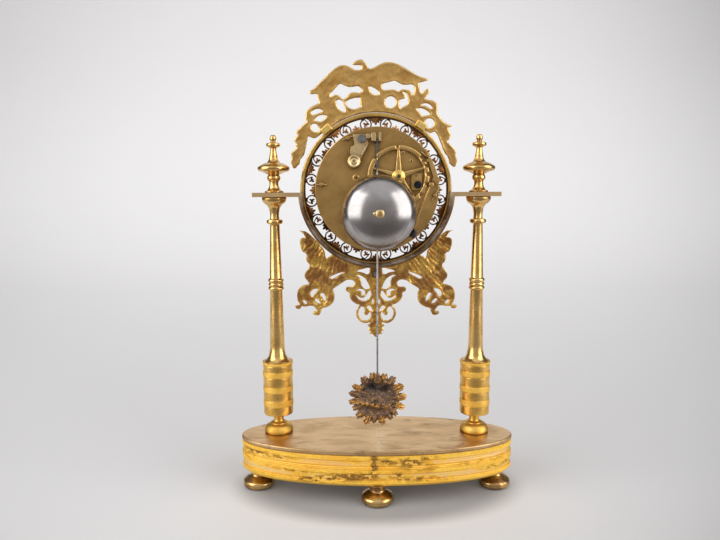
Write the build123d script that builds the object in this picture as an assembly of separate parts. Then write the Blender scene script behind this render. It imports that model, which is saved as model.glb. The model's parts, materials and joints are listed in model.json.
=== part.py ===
from build123d import *
import os
from math import sin, cos, radians, degrees, atan2, hypot

# Striking mantel clock: drum movement in a cradle between two columns on an oval base, with a
# crest above the dial, an ornament below it, and a bell and silk-hung pendulum behind.
# Millimetres. Facing the dial, +X is right, +Y away and +Z up; the front is -Y and the table is
# z = 0. Pieces are drawn with Y measured from the middle of the base; FRAME_Y then puts the
# origin under the middle of the overall depth.

os.makedirs("parts", exist_ok=True)

# ---------------------------------------------------------------- driving dimensions
FRAME_Y = -6.125
BASE_A, BASE_B = 104.0, 36.2          # half axes of the oval base
BASE_BOTTOM, BASE_TOP = 15.05, 42.35
FLOOR_TOP = BASE_BOTTOM + 3.0         # inside floor of the base body
TOP_PLATE_BOTTOM = BASE_TOP - 3.0
FOOT_R = 12.2
FEET = [(91.8, 0), (-91.8, 0), (0, 26.7), (0, -26.7)]    # (x, y)
COLUMNS = [(-76.2, -4.5), (76.2, -4.5)]                  # (x, y)
TIE_R = 1.9                           # tie rods through the columns
BORE = TIE_R + 0.1
ARM_BOTTOM, ARM_TOP = 224.1, 227.3    # flat arms of the cradle
ARM_END = 91.0
CRADLE_RO, CRADLE_RI = 57.4, 56.0
CRADLE_Y = (-16.0, 6.5)
DIAL_Z = 229.0                        # height of the dial axis
BEZEL_RO, BEZEL_RI = 57.9, 55.0
ORNAMENT_R = BEZEL_RO + 0.15          # where crest and lower ornament meet the bezel
GALLERY_RO, GALLERY_RI = 54.95, 41.0
GALLERY_Y = (-18.4, -17.0)
CHAPTER_RO, CHAPTER_RI = 44.5, 27.0
PRINT_Y = -20.06                      # surface that carries the dial markings
PRINT_SPAN = (PRINT_Y - 0.12, PRINT_Y)
CREST_Y = (-18.6, -16.0)
ORNAMENT_Y = (-18.6, -16.2)
PLATE_R = 44.0                        # movement plates
FRONT_PLATE_Y = (-13.0, -11.0)
BACK_PLATE_Y = (16.0, 18.0)
BACK_Y = BACK_PLATE_Y[1]              # rear face of the back plate
FRONT_DRILL, BACK_DRILL = (-14, -10), (15, 19)
ARBOR_Y = (-12.8, 17.8)               # pivot to pivot
ROD_Y = 26.0                          # pendulum plane
HANG_Z = 264.0                        # pendulum and pallet axis
BOB_R, BOB_Z = 21.5, 78.2
COUNT_R = 22.0                        # count wheel
SIDES = (-1, 1)                       # left, right

# tooth and leaf numbers
BARREL_TEETH = 60
CENTRE_LEAVES, CENTRE_TEETH = 15, 80
THIRD_TEETH, ESCAPE_TEETH = 84, 39
CANNON_LEAVES, MINUTE_TEETH = 12, 36
MINUTE_LEAVES, HOUR_TEETH = 10, 40
SECOND_LEAVES, SECOND_TEETH = 11, 72
PIN_TEETH, LOCKING_TEETH = 56, 56
LEAVES = 8                            # every other pinion


# ---------------------------------------------------------------- helpers
# Points c, a and b are (x, z) seen from the front; angles are degrees from +X towards +Z.
def from_dial(x, z):
    return (x, z + DIAL_Z)


def unit(angle):
    return (cos(radians(angle)), sin(radians(angle)))


def local(c, axis, along, across):
    """Point at c plus along the axis vector and across to its left."""
    return (c[0] + along * axis[0] - across * axis[1], c[1] + along * axis[1] + across * axis[0])


def polar(r, angle, c):
    return local(c, unit(angle), r, 0)


def angle_to(a, b):
    return degrees(atan2(b[1] - a[1], b[0] - a[0]))


def dist(a, b):
    return hypot(b[0] - a[0], b[1] - a[1])


def facing(y):
    return Plane(origin=(0, y, 0), x_dir=(1, 0, 0), z_dir=(0, -1, 0))


def prism(points, y0, y1):
    return extrude(facing(y1) * make_face(Polyline(*points, close=True)), amount=y1 - y0)


def disc(c, r, y0, y1):
    return extrude(facing(y1) * Pos(*c) * Circle(r), amount=y1 - y0)


def ring(c, r_out, r_in, y0, y1):
    return extrude(facing(y1) * Pos(*c) * (Circle(r_out) - Circle(r_in)), amount=y1 - y0)


def bar(a, b, width_a, width_b, y0, y1):
    """Straight bar from a to b, tapering from width_a to width_b."""
    length = dist(a, b)
    axis = ((b[0] - a[0]) / length, (b[1] - a[1]) / length)
    return prism([local(a, axis, 0, width_a / 2), local(b, axis, 0, width_b / 2),
                  local(b, axis, 0, -width_b / 2), local(a, axis, 0, -width_a / 2)], y0, y1)


def block(x0, x1, y0, y1, z0, z1):
    return Pos((x0 + x1) / 2, (y0 + y1) / 2, (z0 + z1) / 2) * Box(x1 - x0, y1 - y0, z1 - z0)


def post(c, r, z0, z1):
    """Upright cylinder at c = (x, y)."""
    return extrude(Plane.XY.offset(z0) * Pos(*c) * Circle(r), amount=z1 - z0)


def oval(offset_out, z0, z1):
    sketch = Plane.XY.offset(z0) * Ellipse(BASE_A + offset_out, BASE_B + offset_out)
    return extrude(sketch, amount=z1 - z0)


def outline(profile):
    """Face from a start point, then end points or (arc middle, arc end) pairs."""
    start = last = profile[0]
    edges = []
    for step in profile[1:]:
        if isinstance(step[0], tuple):
            mid, end = step
            bend = ((mid[0] - last[0]) * (end[1] - last[1])
                    - (mid[1] - last[1]) * (end[0] - last[0]))
            edges.append(ThreePointArc(last, mid, end) if abs(bend) > 1e-4 else Line(last, end))
        else:
            end = step
            edges.append(Line(last, end))
        last = end
    if dist(last, start) > 1e-6:
        edges.append(Line(last, start))
    return make_face(edges)


def turned(profile, c):
    """Upright turning at c = (x, y) from a profile of (radius, z)."""
    return Pos(*c, 0) * revolve(Plane.XZ * outline(profile), axis=Axis.Z, revolution_arc=360)


def turned_y(profile, c):
    """Turning about the Y direction at c from a profile of (radius, y)."""
    return Pos(c[0], 0, c[1]) * revolve(outline(profile), axis=Axis.Y, revolution_arc=360)


def screw(c, head, shank, slot_y, slot, turn=0):
    """Slotted screw; head and shank are (radius, y0, y1)."""
    cutter = Pos(c[0], slot_y, c[1]) * Rot(0, turn, 0) * Box(*slot)
    return disc(c, *head) + disc(c, *shank) - cutter


def gear_module(a, b, teeth_a, teeth_b):
    return 2 * dist(a, b) / (teeth_a + teeth_b)


def gear(teeth, tip_r, root_r, c, tooth_at, tip, root, y0, y1):
    """tip and root are the tooth widths as parts of the pitch."""
    points, pitch = [], 360.0 / teeth
    for i in range(teeth):
        a = tooth_at + i * pitch
        points += [polar(root_r, a - root * pitch / 2, c), polar(tip_r, a - tip * pitch / 2, c),
                   polar(tip_r, a + tip * pitch / 2, c), polar(root_r, a + root * pitch / 2, c)]
    return prism(points, y0, y1)


def wheel(teeth, module, c, mate, y0, y1):
    """Wheel with a tooth pointing at its mate."""
    r = teeth * module / 2
    return gear(teeth, r + 0.62 * module, r - 0.95 * module, c, angle_to(c, mate),
                0.17, 0.46, y0, y1)


def pinion(teeth, module, c, mate, y0, y1):
    """Pinion with a gap pointing at its mate."""
    r = teeth * module / 2
    return gear(teeth, r + 0.42 * module, r - 0.95 * module, c,
                angle_to(c, mate) + 180.0 / teeth, 0.20, 0.44, y0, y1)


def crossed(solid, c, y0, y1, hub, rim, spokes, width, first=90.0):
    """Cut the web between the hub and rim radii, leaving spokes."""
    cut = ring(c, rim, hub, y0 - 1, y1 + 1)
    for k in range(spokes):
        end = polar(rim + 1, first + 360.0 * k / spokes, c)
        cut = cut - bar(c, end, width, width, y0 - 2, y1 + 2)
    return solid - cut


def crossed_wheel(teeth, module, c, mate, y0, y1, **crossing):
    return crossed(wheel(teeth, module, c, mate, y0, y1), c, y0, y1, **crossing)


def save(shape, name):
    parts = shape if isinstance(shape, list) else [shape]
    solids = [Pos(0, FRAME_Y, 0) * solid for part in parts for solid in part.solids()]
    out = Compound(children=solids) if len(solids) > 1 else solids[0]
    out.label = name
    export_step(out, f"parts/{name}.step")


def piece(build):
    """Decorator: build the piece and save it under the function's name."""
    save(build(), build.__name__)
    return build


# ---------------------------------------------------------------- stations (x, z)
CENTRE = from_dial(0, 0)
BARRELS = {side: from_dial(side * 19.5, -12.0) for side in (1, -1)}
GOING, STRIKE = BARRELS[1], BARRELS[-1]
THIRD = from_dial(14.7, 8.3)
ESCAPE = from_dial(2.6, 19.0)
PALLETS = (0.0, HANG_Z)
MINUTE = from_dial(0.0, 10.0)         # minute wheel of the motion work
SECOND = from_dial(-15.0, 9.1)        # strike second wheel, carries the count wheel
PIN = from_dial(-24.2, 20.3)          # pin wheel
LOCKING = from_dial(-18.4, 25.8)
FLY = from_dial(-11.2, 28.5)
HAMMER = from_dial(-37.8, 3.2)
DETENT = from_dial(-41.3, 6.3)        # count wheel detent
KNOB = from_dial(16.1, 19.6)          # silk regulating knob
PILLARS = [from_dial(39.2, 3.8), from_dial(20.6, 35.9), from_dial(-34.2, 23.8),
           from_dial(-40.9, -4.2), from_dial(0.0, -39.6)]
PIN_TURNS = (0, 20, -35, 60, 15)      # turn of each pillar's pin
DIAL_POSTS = [polar(42.3, a, CENTRE) for a in (40.0, 140.0, 220.0, 320.0)]
CLICKS = {side: from_dial(side * 28.6, -20.8) for side in (1, -1)}
CLICK_SPRINGS = {side: from_dial(side * 33.6, -15.4) for side in (1, -1)}
COCK_SCREW = from_dial(10.6, 35.3)
BRIDGE_SCREW = from_dial(-28.7, 3.3)
BELL_SCREWS = [from_dial(13.0, -32.0), from_dial(13.0, -28.0)]
BELL = (-1.3, 212.9)
ORNAMENT_SCREW = (0, 164.6)
BOB = (0.0, BOB_Z)

# ---------------------------------------------------------------- base
BASE_BANDS = [                        # (z0, z1, offset from the base outline)
    (BASE_BOTTOM, 15.7, -2.9), (15.7, 16.4, -2.2), (16.4, 17.3, -1.6), (17.3, 17.9, -0.5),
    (17.9, 20.0, -0.1), (20.0, 20.6, -0.5), (20.6, 25.2, -0.9), (25.2, 25.7, -0.5),
    (25.7, 28.7, -0.2), (28.7, 31.0, 0.0), (31.0, 35.2, -0.8), (35.2, 35.8, -0.4),
    (35.8, 38.3, 0.0), (38.3, 39.0, -0.4), (39.0, TOP_PLATE_BOTTOM, -1.2),
]


@piece
def base_body():
    z0, z1, step = BASE_BANDS[0]
    body = oval(step, z0, z1)
    for z0, z1, step in BASE_BANDS[1:]:
        body += oval(step, z0, z1)
    body -= oval(-4.0, FLOOR_TOP, TOP_PLATE_BOTTOM)
    for c in COLUMNS:
        body -= post(c, BORE, 10, 20)
    for c in FEET:
        body -= post(c, 2.05, 10, 20)
    return body


@piece
def base_top_plate():
    top = oval(0.3, TOP_PLATE_BOTTOM, BASE_TOP)
    top = chamfer(top.faces().sort_by(Axis.Z)[-1].outer_wire().edges(), 1.3, 1.5)
    for c in COLUMNS:
        top -= post(c, BORE, 38, 44)
    return top


@piece
def bun_feet():
    profile = [(0, 0), (7.2, 0), ((11.0, 2.1), (FOOT_R, 6.4)), ((11.3, 9.3), (8.6, 11.3)),
               ((6.2, 12.2), (5.0, 13.9)), (5.0, BASE_BOTTOM), (1.95, BASE_BOTTOM),
               (1.95, 21.6), (0, 21.6)]
    return [turned(profile, c) for c in FEET]


@piece
def base_nuts():
    def nut(c, radius, sides, bore, z0, height):
        sketch = RegularPolygon(radius, sides) - Circle(bore)
        return extrude(Plane.XY.offset(z0) * Pos(*c) * sketch, amount=height)

    return ([nut(c, 3.4, 4, 2.0, FLOOR_TOP, 2.6) for c in FEET]
            + [nut(c, 4.2, 6, TIE_R + 0.05, BASE_BOTTOM - 3.0, 3.0) for c in COLUMNS])


# ---------------------------------------------------------------- columns
@piece
def tie_rods():
    return [post(c, TIE_R, 11.2, 238.0) for c in COLUMNS]


def column_turnings(profile):
    return [turned(profile, c) for c in COLUMNS]


@piece
def column_feet():
    return column_turnings([
        (BORE, BASE_TOP), (8.6, BASE_TOP), ((10.4, 43.9), (9.0, 46.2)), ((8.1, 46.9), (7.0, 47.2)),
        (5.6, 47.2), (5.6, 47.9), (7.1, 48.2), ((7.6, 48.9), (7.1, 49.6)), (5.0, 49.9),
        ((4.0, 52.0), (3.9, 54.2)), ((4.2, 55.9), (5.2, 57.2)), (BORE, 57.2)])


@piece
def column_drums():
    return column_turnings([
        (BORE, 57.2), (6.0, 57.2), ((9.3, 58.2), (11.1, 60.1)), (11.3, 62.8), (11.1, 63.4),
        (11.6, 64.2), (11.6, 66.4), (11.1, 67.2), (11.3, 68.2), (11.2, 73.2), (11.1, 74.0),
        (11.6, 74.9), (11.6, 77.6), (11.1, 78.5), (11.3, 79.6), (11.3, 85.2), (11.1, 86.1),
        (11.6, 86.9), (11.6, 89.6), (11.1, 90.5), (11.4, 91.6), (11.5, 95.3),
        ((11.7, 96.8), (11.2, 98.2)), (10.2, 98.9), (BORE, 98.9)])


@piece
def column_shafts():
    return column_turnings([
        (BORE, 98.9), (9.7, 98.9), ((7.5, 101.2), (6.4, 104.2)), ((5.8, 107.6), (5.55, 111.5)),
        (5.0, 138.0), (4.65, 153.9), (5.5, 154.3), ((5.95, 155.3), (5.5, 156.4)), (5.1, 156.8),
        ((5.7, 158.0), (5.2, 159.4)), (5.3, 160.1), ((5.95, 161.3), (5.4, 162.6)), (4.6, 163.0),
        (3.55, 203.4), (4.1, 203.8), (5.8, 204.4), ((6.1, 205.7), (5.7, 207.1)), (3.5, 207.7),
        ((3.3, 210.5), (3.7, 213.6)), ((4.5, 216.4), (6.0, 218.4)), ((8.4, 220.4), (9.2, 223.2)),
        (9.0, ARM_BOTTOM), (BORE, ARM_BOTTOM)])


@piece
def column_finials():
    return column_turnings([
        (BORE, ARM_TOP), (7.0, ARM_TOP), (7.0, 228.3), ((5.2, 229.3), (4.0, 230.9)),
        ((3.4, 232.8), (3.5, 235.5)), (4.6, 236.6), ((4.9, 238.1), (4.5, 239.6)), (3.9, 240.4),
        ((6.5, 241.6), (10.2, 242.9)), ((11.9, 244.6), (11.6, 246.2)), ((8.4, 248.2), (5.2, 249.4)),
        ((3.6, 251.4), (3.0, 254.4)), ((2.3, 257.6), (2.2, 259.9)), (3.0, 260.3), (4.9, 261.2),
        ((5.2, 262.3), (4.8, 263.4)), (2.9, 264.0), (1.7, 264.3), (1.7, 264.8),
        ((2.4, 267.2), (1.5, 269.3)), (0, 269.7), (0, 238.4), (BORE, 238.4)])


# ---------------------------------------------------------------- cradle, bezel, gallery
@piece
def cradle():
    body = ring(CENTRE, CRADLE_RO, CRADLE_RI, *CRADLE_Y) - block(-70, 70, -30, 30, ARM_TOP, 300)
    for side, column in zip(SIDES, COLUMNS):
        x0, x1 = sorted((side * 56.6, side * ARM_END))
        arm = block(x0, x1, *CRADLE_Y, ARM_BOTTOM, ARM_TOP)
        body += arm - post(column, BORE, 220, 230)
    return body


@piece
def bezel_ring():
    return turned_y([(BEZEL_RI, -16.0), (57.3, -16.0), (BEZEL_RO, -16.6), (BEZEL_RO, -18.4),
                     ((57.2, -19.6), (56.0, -20.0)), (55.0, -19.6), (54.2, -19.4),
                     (54.2, -18.45), (BEZEL_RI, -18.45)], CENTRE)


# leaf inside each scroll: (around, outwards) from the scroll centre
SCROLL_LEAF = [(-3.6, -0.5), (-2.2, -1.5), (-0.4, -1.9), (1.3, -1.2), (1.9, 0.2), (1.0, 1.4),
               (-0.2, 1.2), (0.3, 0.1), (-0.8, -0.4), (-2.3, 0.2), (-3.6, 0.5)]
# leaves on the outer and inner rims: (radius, degrees from the leaf axis)
OUTER_LEAF = [(54.25, -5.2), (52.2, -4.6), (50.9, -3.1), (51.3, -2.2), (50.0, -1.7), (50.2, -0.9),
              (48.7, 0), (50.2, 0.9), (50.0, 1.7), (51.3, 2.2), (50.9, 3.1), (52.2, 4.6),
              (54.25, 5.2)]
INNER_LEAF = [(45.9, -5.6), (47.6, -5.0), (47.2, -3.2), (48.9, -3.0), (48.6, -1.4), (50.6, 0),
              (48.6, 1.4), (48.9, 3.0), (47.2, 3.2), (47.6, 5.0), (45.9, 5.6)]


@piece
def scroll_gallery():
    gallery = (ring(CENTRE, GALLERY_RO, 53.9, *GALLERY_Y)
               + ring(CENTRE, 46.2, GALLERY_RI, *GALLERY_Y))
    for k in range(10):
        axis = 90 + 36 * k
        for side in SIDES:
            out = axis + 9 * side
            c = polar(50.2, out, CENTRE)
            leaf = [local(c, unit(out), v, side * u) for u, v in SCROLL_LEAF]
            gallery += ring(c, 4.2, 3.35, *GALLERY_Y) + prism(leaf, *GALLERY_Y)
        for leaf, turn in ((OUTER_LEAF, 0), (INNER_LEAF, 18)):
            gallery += prism([polar(r, axis + turn + a, CENTRE) for r, a in leaf], *GALLERY_Y)
    for c in DIAL_POSTS:
        gallery -= disc(c, 0.85, -19, -16)
    return gallery


# ---------------------------------------------------------------- crest
# outline (x, z): over the top and down the left side
CREST_TOP_LEFT = [
    (17.7, 322.4), (14.7, 324.7), (11.7, 325.6), (9.5, 325.0), (7.3, 322.5), (5.4, 319.6),
    (4.0, 319.0), (2.0, 319.6), (-0.2, 320.6), (-3.2, 322.2), (-5.4, 323.1), (-7.7, 323.7),
    (-9.9, 323.8), (-12.2, 323.5), (-14.4, 322.9), (-17.4, 321.8), (-20.4, 320.2), (-23.4, 318.5),
    (-26.4, 316.7), (-29.4, 314.9), (-32.4, 313.5), (-35.4, 312.4), (-38.0, 311.6), (-39.5, 310.7),
    (-37.7, 309.9), (-34.7, 309.1), (-32.4, 308.5), (-32.5, 307.1), (-32.8, 304.9), (-33.6, 302.3),
    (-34.8, 300.8), (-35.9, 301.9), (-37.4, 303.4), (-38.5, 304.1), (-40.0, 303.4), (-40.2, 301.9),
    (-39.1, 300.1), (-37.8, 298.3), (-37.4, 297.0), (-39.3, 296.2), (-42.3, 295.7), (-44.6, 294.7),
    (-46.1, 293.1), (-46.3, 290.9), (-46.4, 288.7), (-46.2, 286.5), (-47.3, 284.3), (-49.3, 282.0),
    (-51.5, 279.8), (-54.2, 278.1), (-56.9, 277.4), (-57.6, 276.9), (-56.5, 276.1), (-54.9, 275.4),
    (-55.3, 273.5), (-56.2, 271.6), (-56.8, 269.9), (-56.2, 268.3), (-55.5, 266.6), (-54.2, 265.5),
    (-55.2, 264.2), (-57.1, 262.3), (-59.0, 260.5), (-60.2, 258.6), (-60.8, 256.7), (-60.6, 254.5),
    (-61.4, 252.6), (-61.8, 250.7), (-61.1, 248.8), (-60.7, 247.0), (-59.6, 246.2), (-58.1, 247.0),
    (-56.9, 248.1), (-55.7, 249.6), (-55.6, 251.5), (-54.9, 253.0), (-54.1, 254.9), (-52.8, 256.0),
    (-51.6, 258.3), (-50.6, 260.1), (-49.8, 262.7), (-48.6, 265.4), (-47.7, 268.0), (-46.6, 270.2),
    (-45.2, 272.1), (-44.1, 272.6), (-42.6, 271.9), (-41.1, 271.6), (-39.2, 272.4)]
# outline (x, z): down the right side
CREST_RIGHT = [
    (19.2, 320.1), (21.5, 321.2), (23.7, 321.7), (26.0, 321.5), (28.2, 320.8), (30.5, 319.5),
    (32.7, 317.7), (35.0, 315.7), (38.0, 312.8), (41.1, 309.9), (43.7, 307.4), (46.4, 304.9),
    (49.0, 303.4), (49.8, 302.3), (49.4, 301.0), (47.9, 300.6), (44.9, 300.8), (43.8, 300.1),
    (43.8, 298.3), (43.1, 296.4), (42.6, 294.4), (45.0, 293.1), (47.3, 292.1), (49.6, 290.6),
    (51.9, 288.8), (52.9, 286.9), (52.8, 284.7), (53.3, 282.9), (52.9, 281.4), (52.0, 280.6),
    (53.5, 279.2), (56.2, 277.0), (58.1, 275.1), (60.1, 273.3), (60.1, 272.2), (59.4, 270.7),
    (60.5, 269.2), (61.8, 267.3), (61.3, 265.5), (60.6, 264.3), (61.0, 262.9), (60.3, 261.4),
    (61.4, 259.9), (63.4, 258.0), (64.5, 256.7), (64.2, 255.0), (63.8, 253.5), (64.4, 251.3),
    (64.8, 249.8), (63.9, 248.3), (63.6, 246.7), (62.4, 245.6), (60.9, 246.0), (60.1, 247.1),
    (59.4, 247.9), (58.2, 249.0), (57.8, 250.9), (57.4, 252.4), (55.8, 254.2), (54.3, 256.5),
    (53.6, 259.5), (53.0, 261.7), (52.6, 264.3), (51.8, 266.9), (51.4, 269.1), (50.6, 269.5),
    (48.4, 268.5), (46.5, 268.2), (44.6, 268.9), (42.7, 270.2), (41.0, 271.6), (39.2, 272.6)]
CREST_BEAK = [
    (17.0, 321.9), (14.7, 321.6), (11.8, 321.6), (10.6, 320.9), (10.6, 319.2), (11.8, 318.2),
    (13.3, 318.0), (15.5, 318.2), (17.7, 319.3)]
CREST_HOLES = [                       # (x, z) round each piercing
    [(34.0, 298.6), (34.0, 301.2), (32.1, 303.0), (29.8, 305.5), (27.6, 307.7), (26.1, 308.1),
     (24.2, 307.1), (21.6, 306.1), (19.3, 305.7), (16.3, 306.0), (13.3, 306.3), (11.4, 305.1),
     (10.3, 303.6), (10.7, 302.1), (12.6, 301.4), (14.8, 301.8), (17.1, 301.8), (19.4, 301.1),
     (21.3, 299.3), (23.1, 297.4), (25.0, 296.9), (27.4, 299.3), (30.6, 300.2)],
    [(29.8, 295.6), (29.6, 293.4), (28.5, 290.5), (26.2, 288.3), (23.6, 287.5), (22.8, 288.3),
     (23.2, 290.5), (23.9, 292.7), (24.7, 294.9), (25.8, 295.9), (27.8, 296.6)],
    [(22.4, 294.1), (21.7, 295.6), (19.4, 296.7), (16.4, 297.6), (13.4, 297.9), (11.9, 297.8),
     (11.6, 295.6), (11.6, 293.4), (11.3, 291.5), (13.4, 290.4), (16.0, 289.7), (18.7, 290.0),
     (20.9, 291.2), (22.2, 293.0)],
    [(48.5, 287.6), (47.4, 288.7), (45.1, 289.6), (42.8, 289.8), (40.9, 289.2), (40.3, 288.3),
     (41.7, 287.2), (43.6, 286.5), (46.3, 285.6), (48.1, 285.8)],
    [(46.3, 281.7), (45.2, 283.2), (43.3, 284.7), (41.4, 285.2), (38.7, 285.2), (37.4, 284.6),
     (37.6, 283.5), (39.5, 281.7), (41.0, 280.6), (42.5, 280.5), (44.8, 281.0)],
    [(49.0, 277.3), (48.2, 278.6), (46.7, 278.9), (44.8, 278.4), (43.4, 276.5), (42.8, 274.3),
     (43.4, 273.0), (45.3, 272.8), (47.2, 273.2), (48.7, 275.1)],
    [(5.1, 305.8), (3.6, 306.0), (1.3, 305.0), (-0.9, 303.6), (-2.4, 302.1), (-2.4, 300.6),
     (-1.3, 299.9), (1.7, 300.1), (3.6, 301.7), (4.7, 303.6)],
    [(-4.7, 305.0), (-4.7, 307.2), (-5.8, 308.3), (-8.4, 308.8), (-11.4, 309.6), (-13.7, 310.2),
     (-15.2, 309.8), (-17.4, 308.6), (-19.7, 307.5), (-21.9, 307.1), (-24.9, 307.3),
     (-27.2, 307.4), (-28.7, 306.3), (-29.3, 304.2), (-29.0, 302.0), (-28.4, 300.1),
     (-27.2, 300.1), (-26.5, 301.6), (-25.3, 303.1), (-22.0, 303.8), (-19.7, 303.8),
     (-16.7, 302.4), (-14.5, 303.5), (-12.2, 303.9), (-9.2, 303.5), (-6.2, 303.5)],
    [(-20.5, 302.0), (-22.4, 301.4), (-23.5, 299.8), (-24.3, 297.6), (-24.4, 295.4),
     (-23.9, 293.2), (-22.0, 291.7), (-19.8, 290.6), (-18.6, 289.8), (-17.9, 290.7),
     (-17.5, 292.9), (-17.5, 294.7), (-18.2, 296.2), (-20.5, 296.9), (-22.0, 297.6),
     (-22.0, 299.1), (-21.2, 300.5)],
    [(-34.4, 292.4), (-35.6, 293.3), (-37.8, 293.6), (-40.1, 293.0), (-42.0, 291.4),
     (-42.6, 290.0), (-41.3, 289.6), (-39.4, 290.7), (-37.1, 291.7), (-35.2, 291.9)],
    [(-31.1, 289.6), (-33.0, 290.0), (-35.2, 289.7), (-37.9, 288.5), (-40.1, 286.9),
     (-40.8, 285.4), (-38.7, 284.8), (-36.4, 284.3), (-35.3, 284.1), (-34.1, 285.4),
     (-32.6, 287.3), (-31.3, 288.6)]]
CREST_BODY = [(9.6, 318.6), (5.0, 316.6), (-3.0, 316.0), (-5.6, 311.0), (-3.6, 308.9),
              (7.0, 308.6), (9.4, 312.2)]                # raised body, (x, z)
CREST_BOSSES = [                      # (x, z, radius)
    (13.0, 322.2, 2.2), (35.5, 290.0, 3.0), (-31.5, 296.5, 2.6), (47.3, 283.4, 1.3),
    (56.3, 262.0, 1.9), (59.6, 254.0, 2.0), (-56.8, 258.5, 1.9), (-51.4, 270.5, 2.4),
    (55.4, 271.0, 2.4)]


def pierce(solid, holes, y0, y1):
    for hole in holes:
        solid = solid - prism(hole, y0 - 1, y1 + 1)
    return solid


@piece
def crest():
    y0, y1 = CREST_Y
    arc = [polar(ORNAMENT_R, 131.5 - 83.0 * i / 16, CENTRE) for i in range(17)]
    body = prism(CREST_TOP_LEFT + arc + CREST_RIGHT[::-1] + CREST_BEAK[::-1], y0, y1)
    body = pierce(body, CREST_HOLES, y0, y1)
    for c, r in (((-11.1, 294.5), 4.3), ((-40.6, 278.9), 3.6)):
        body -= disc(c, r, y0 - 1, y1 + 1)
    body += prism(CREST_BODY, -20.8, y0)
    for x, z, r in CREST_BOSSES:
        body += disc((x, z), r, -20.2, y0)
    # raised ribs fanning to the right and to the left
    for k in range(5):
        body += bar((24.0 + 4.2 * k, 317.6 - 2.9 * k), (20.5 + 3.6 * k, 311.0 - 1.5 * k),
                    2.0, 1.2, -19.8, y0)
        body += bar((-11.0 - 4.4 * k, 320.6 - 2.1 * k), (-9.5 - 3.4 * k, 313.6 - 1.0 * k),
                    2.0, 1.2, -19.8, y0)
    return body


@piece
def crest_lugs():
    lugs = []
    for angle in (50.6, 125.2):
        corners = ((55.6, -3.6), (62.2, -3.6), (62.2, 3.6), (55.6, 3.6))
        lug = prism([local(CENTRE, unit(angle), r, s) for r, s in corners], -16.0, -14.2)
        lugs.append(fillet(lug.faces().sort_by(Axis.Y)[-1].outer_wire().edges(), 0.5))
    return lugs


# ---------------------------------------------------------------- lower ornament
# outline (x, z) of the right half, which is then mirrored
ORNAMENT_TOP = [
    (59.4, 198.3), (57.1, 197.9), (54.8, 197.7), (52.5, 196.3), (50.2, 194.4), (47.9, 192.1),
    (45.6, 190.1), (43.3, 187.4), (41.4, 184.7), (39.9, 182.3), (39.5, 180.0), (39.2, 177.9),
    (38.4, 176.6), (37.2, 177.6), (35.2, 178.6), (32.5, 180.8)]
ORNAMENT_PENDANT = [
    (0, 113.9), (2.0, 115.6), (3.1, 116.8), (5.0, 116.6), (4.5, 118.9), (6.1, 119.7), (5.1, 122.1),
    (6.7, 123.3), (5.5, 124.5), (4.9, 126.2), (6.4, 125.7), (8.6, 125.3), (11.4, 126.1),
    (13.7, 128.1), (15.3, 130.9), (15.7, 134.1), (14.5, 137.3), (12.9, 139.7), (14.9, 140.5),
    (17.6, 142.1), (19.6, 144.1), (20.7, 146.9), (21.0, 149.6), (22.9, 150.6), (23.6, 152.4),
    (22.6, 154.0), (20.6, 154.2), (18.6, 154.2), (17.4, 155.4)]
ORNAMENT_CREATURE = [
    (16.4, 157.2), (17.9, 159.1), (20.2, 159.8), (23.4, 159.3), (26.5, 157.2), (29.6, 155.2),
    (32.0, 153.7), (33.6, 152.1), (32.8, 150.1), (32.5, 147.3), (32.6, 144.5), (33.7, 141.8),
    (36.1, 139.4), (39.2, 138.0), (41.6, 137.4), (42.6, 136.6), (42.8, 135.0), (43.6, 133.4),
    (44.8, 131.8), (47.1, 131.8), (48.7, 132.3), (49.5, 133.9), (48.7, 134.8), (46.9, 134.9),
    (46.5, 135.9), (47.5, 137.4), (49.0, 139.0), (51.8, 139.3), (54.9, 138.7), (56.9, 138.8),
    (58.4, 138.7), (59.2, 137.2), (61.2, 136.8), (62.8, 137.5), (63.3, 139.1), (62.0, 139.7),
    (60.2, 139.9), (60.0, 141.1), (61.1, 143.1), (61.6, 145.4), (61.6, 148.6), (61.0, 151.4),
    (59.4, 153.8), (57.0, 155.3), (54.2, 156.1), (52.3, 156.5), (53.0, 158.5), (54.6, 160.4),
    (55.6, 162.4), (55.4, 164.4), (54.1, 166.7), (52.5, 168.7), (51.7, 170.6), (51.8, 172.2),
    (53.2, 173.4), (54.0, 175.4), (54.1, 177.7), (53.9, 179.6), (55.0, 181.0), (56.6, 181.6),
    (57.7, 183.6), (58.6, 186.3), (58.8, 189.0), (58.5, 191.3), (57.0, 192.5), (54.9, 192.9),
    (55.2, 194.4), (56.7, 196.4)]
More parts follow.
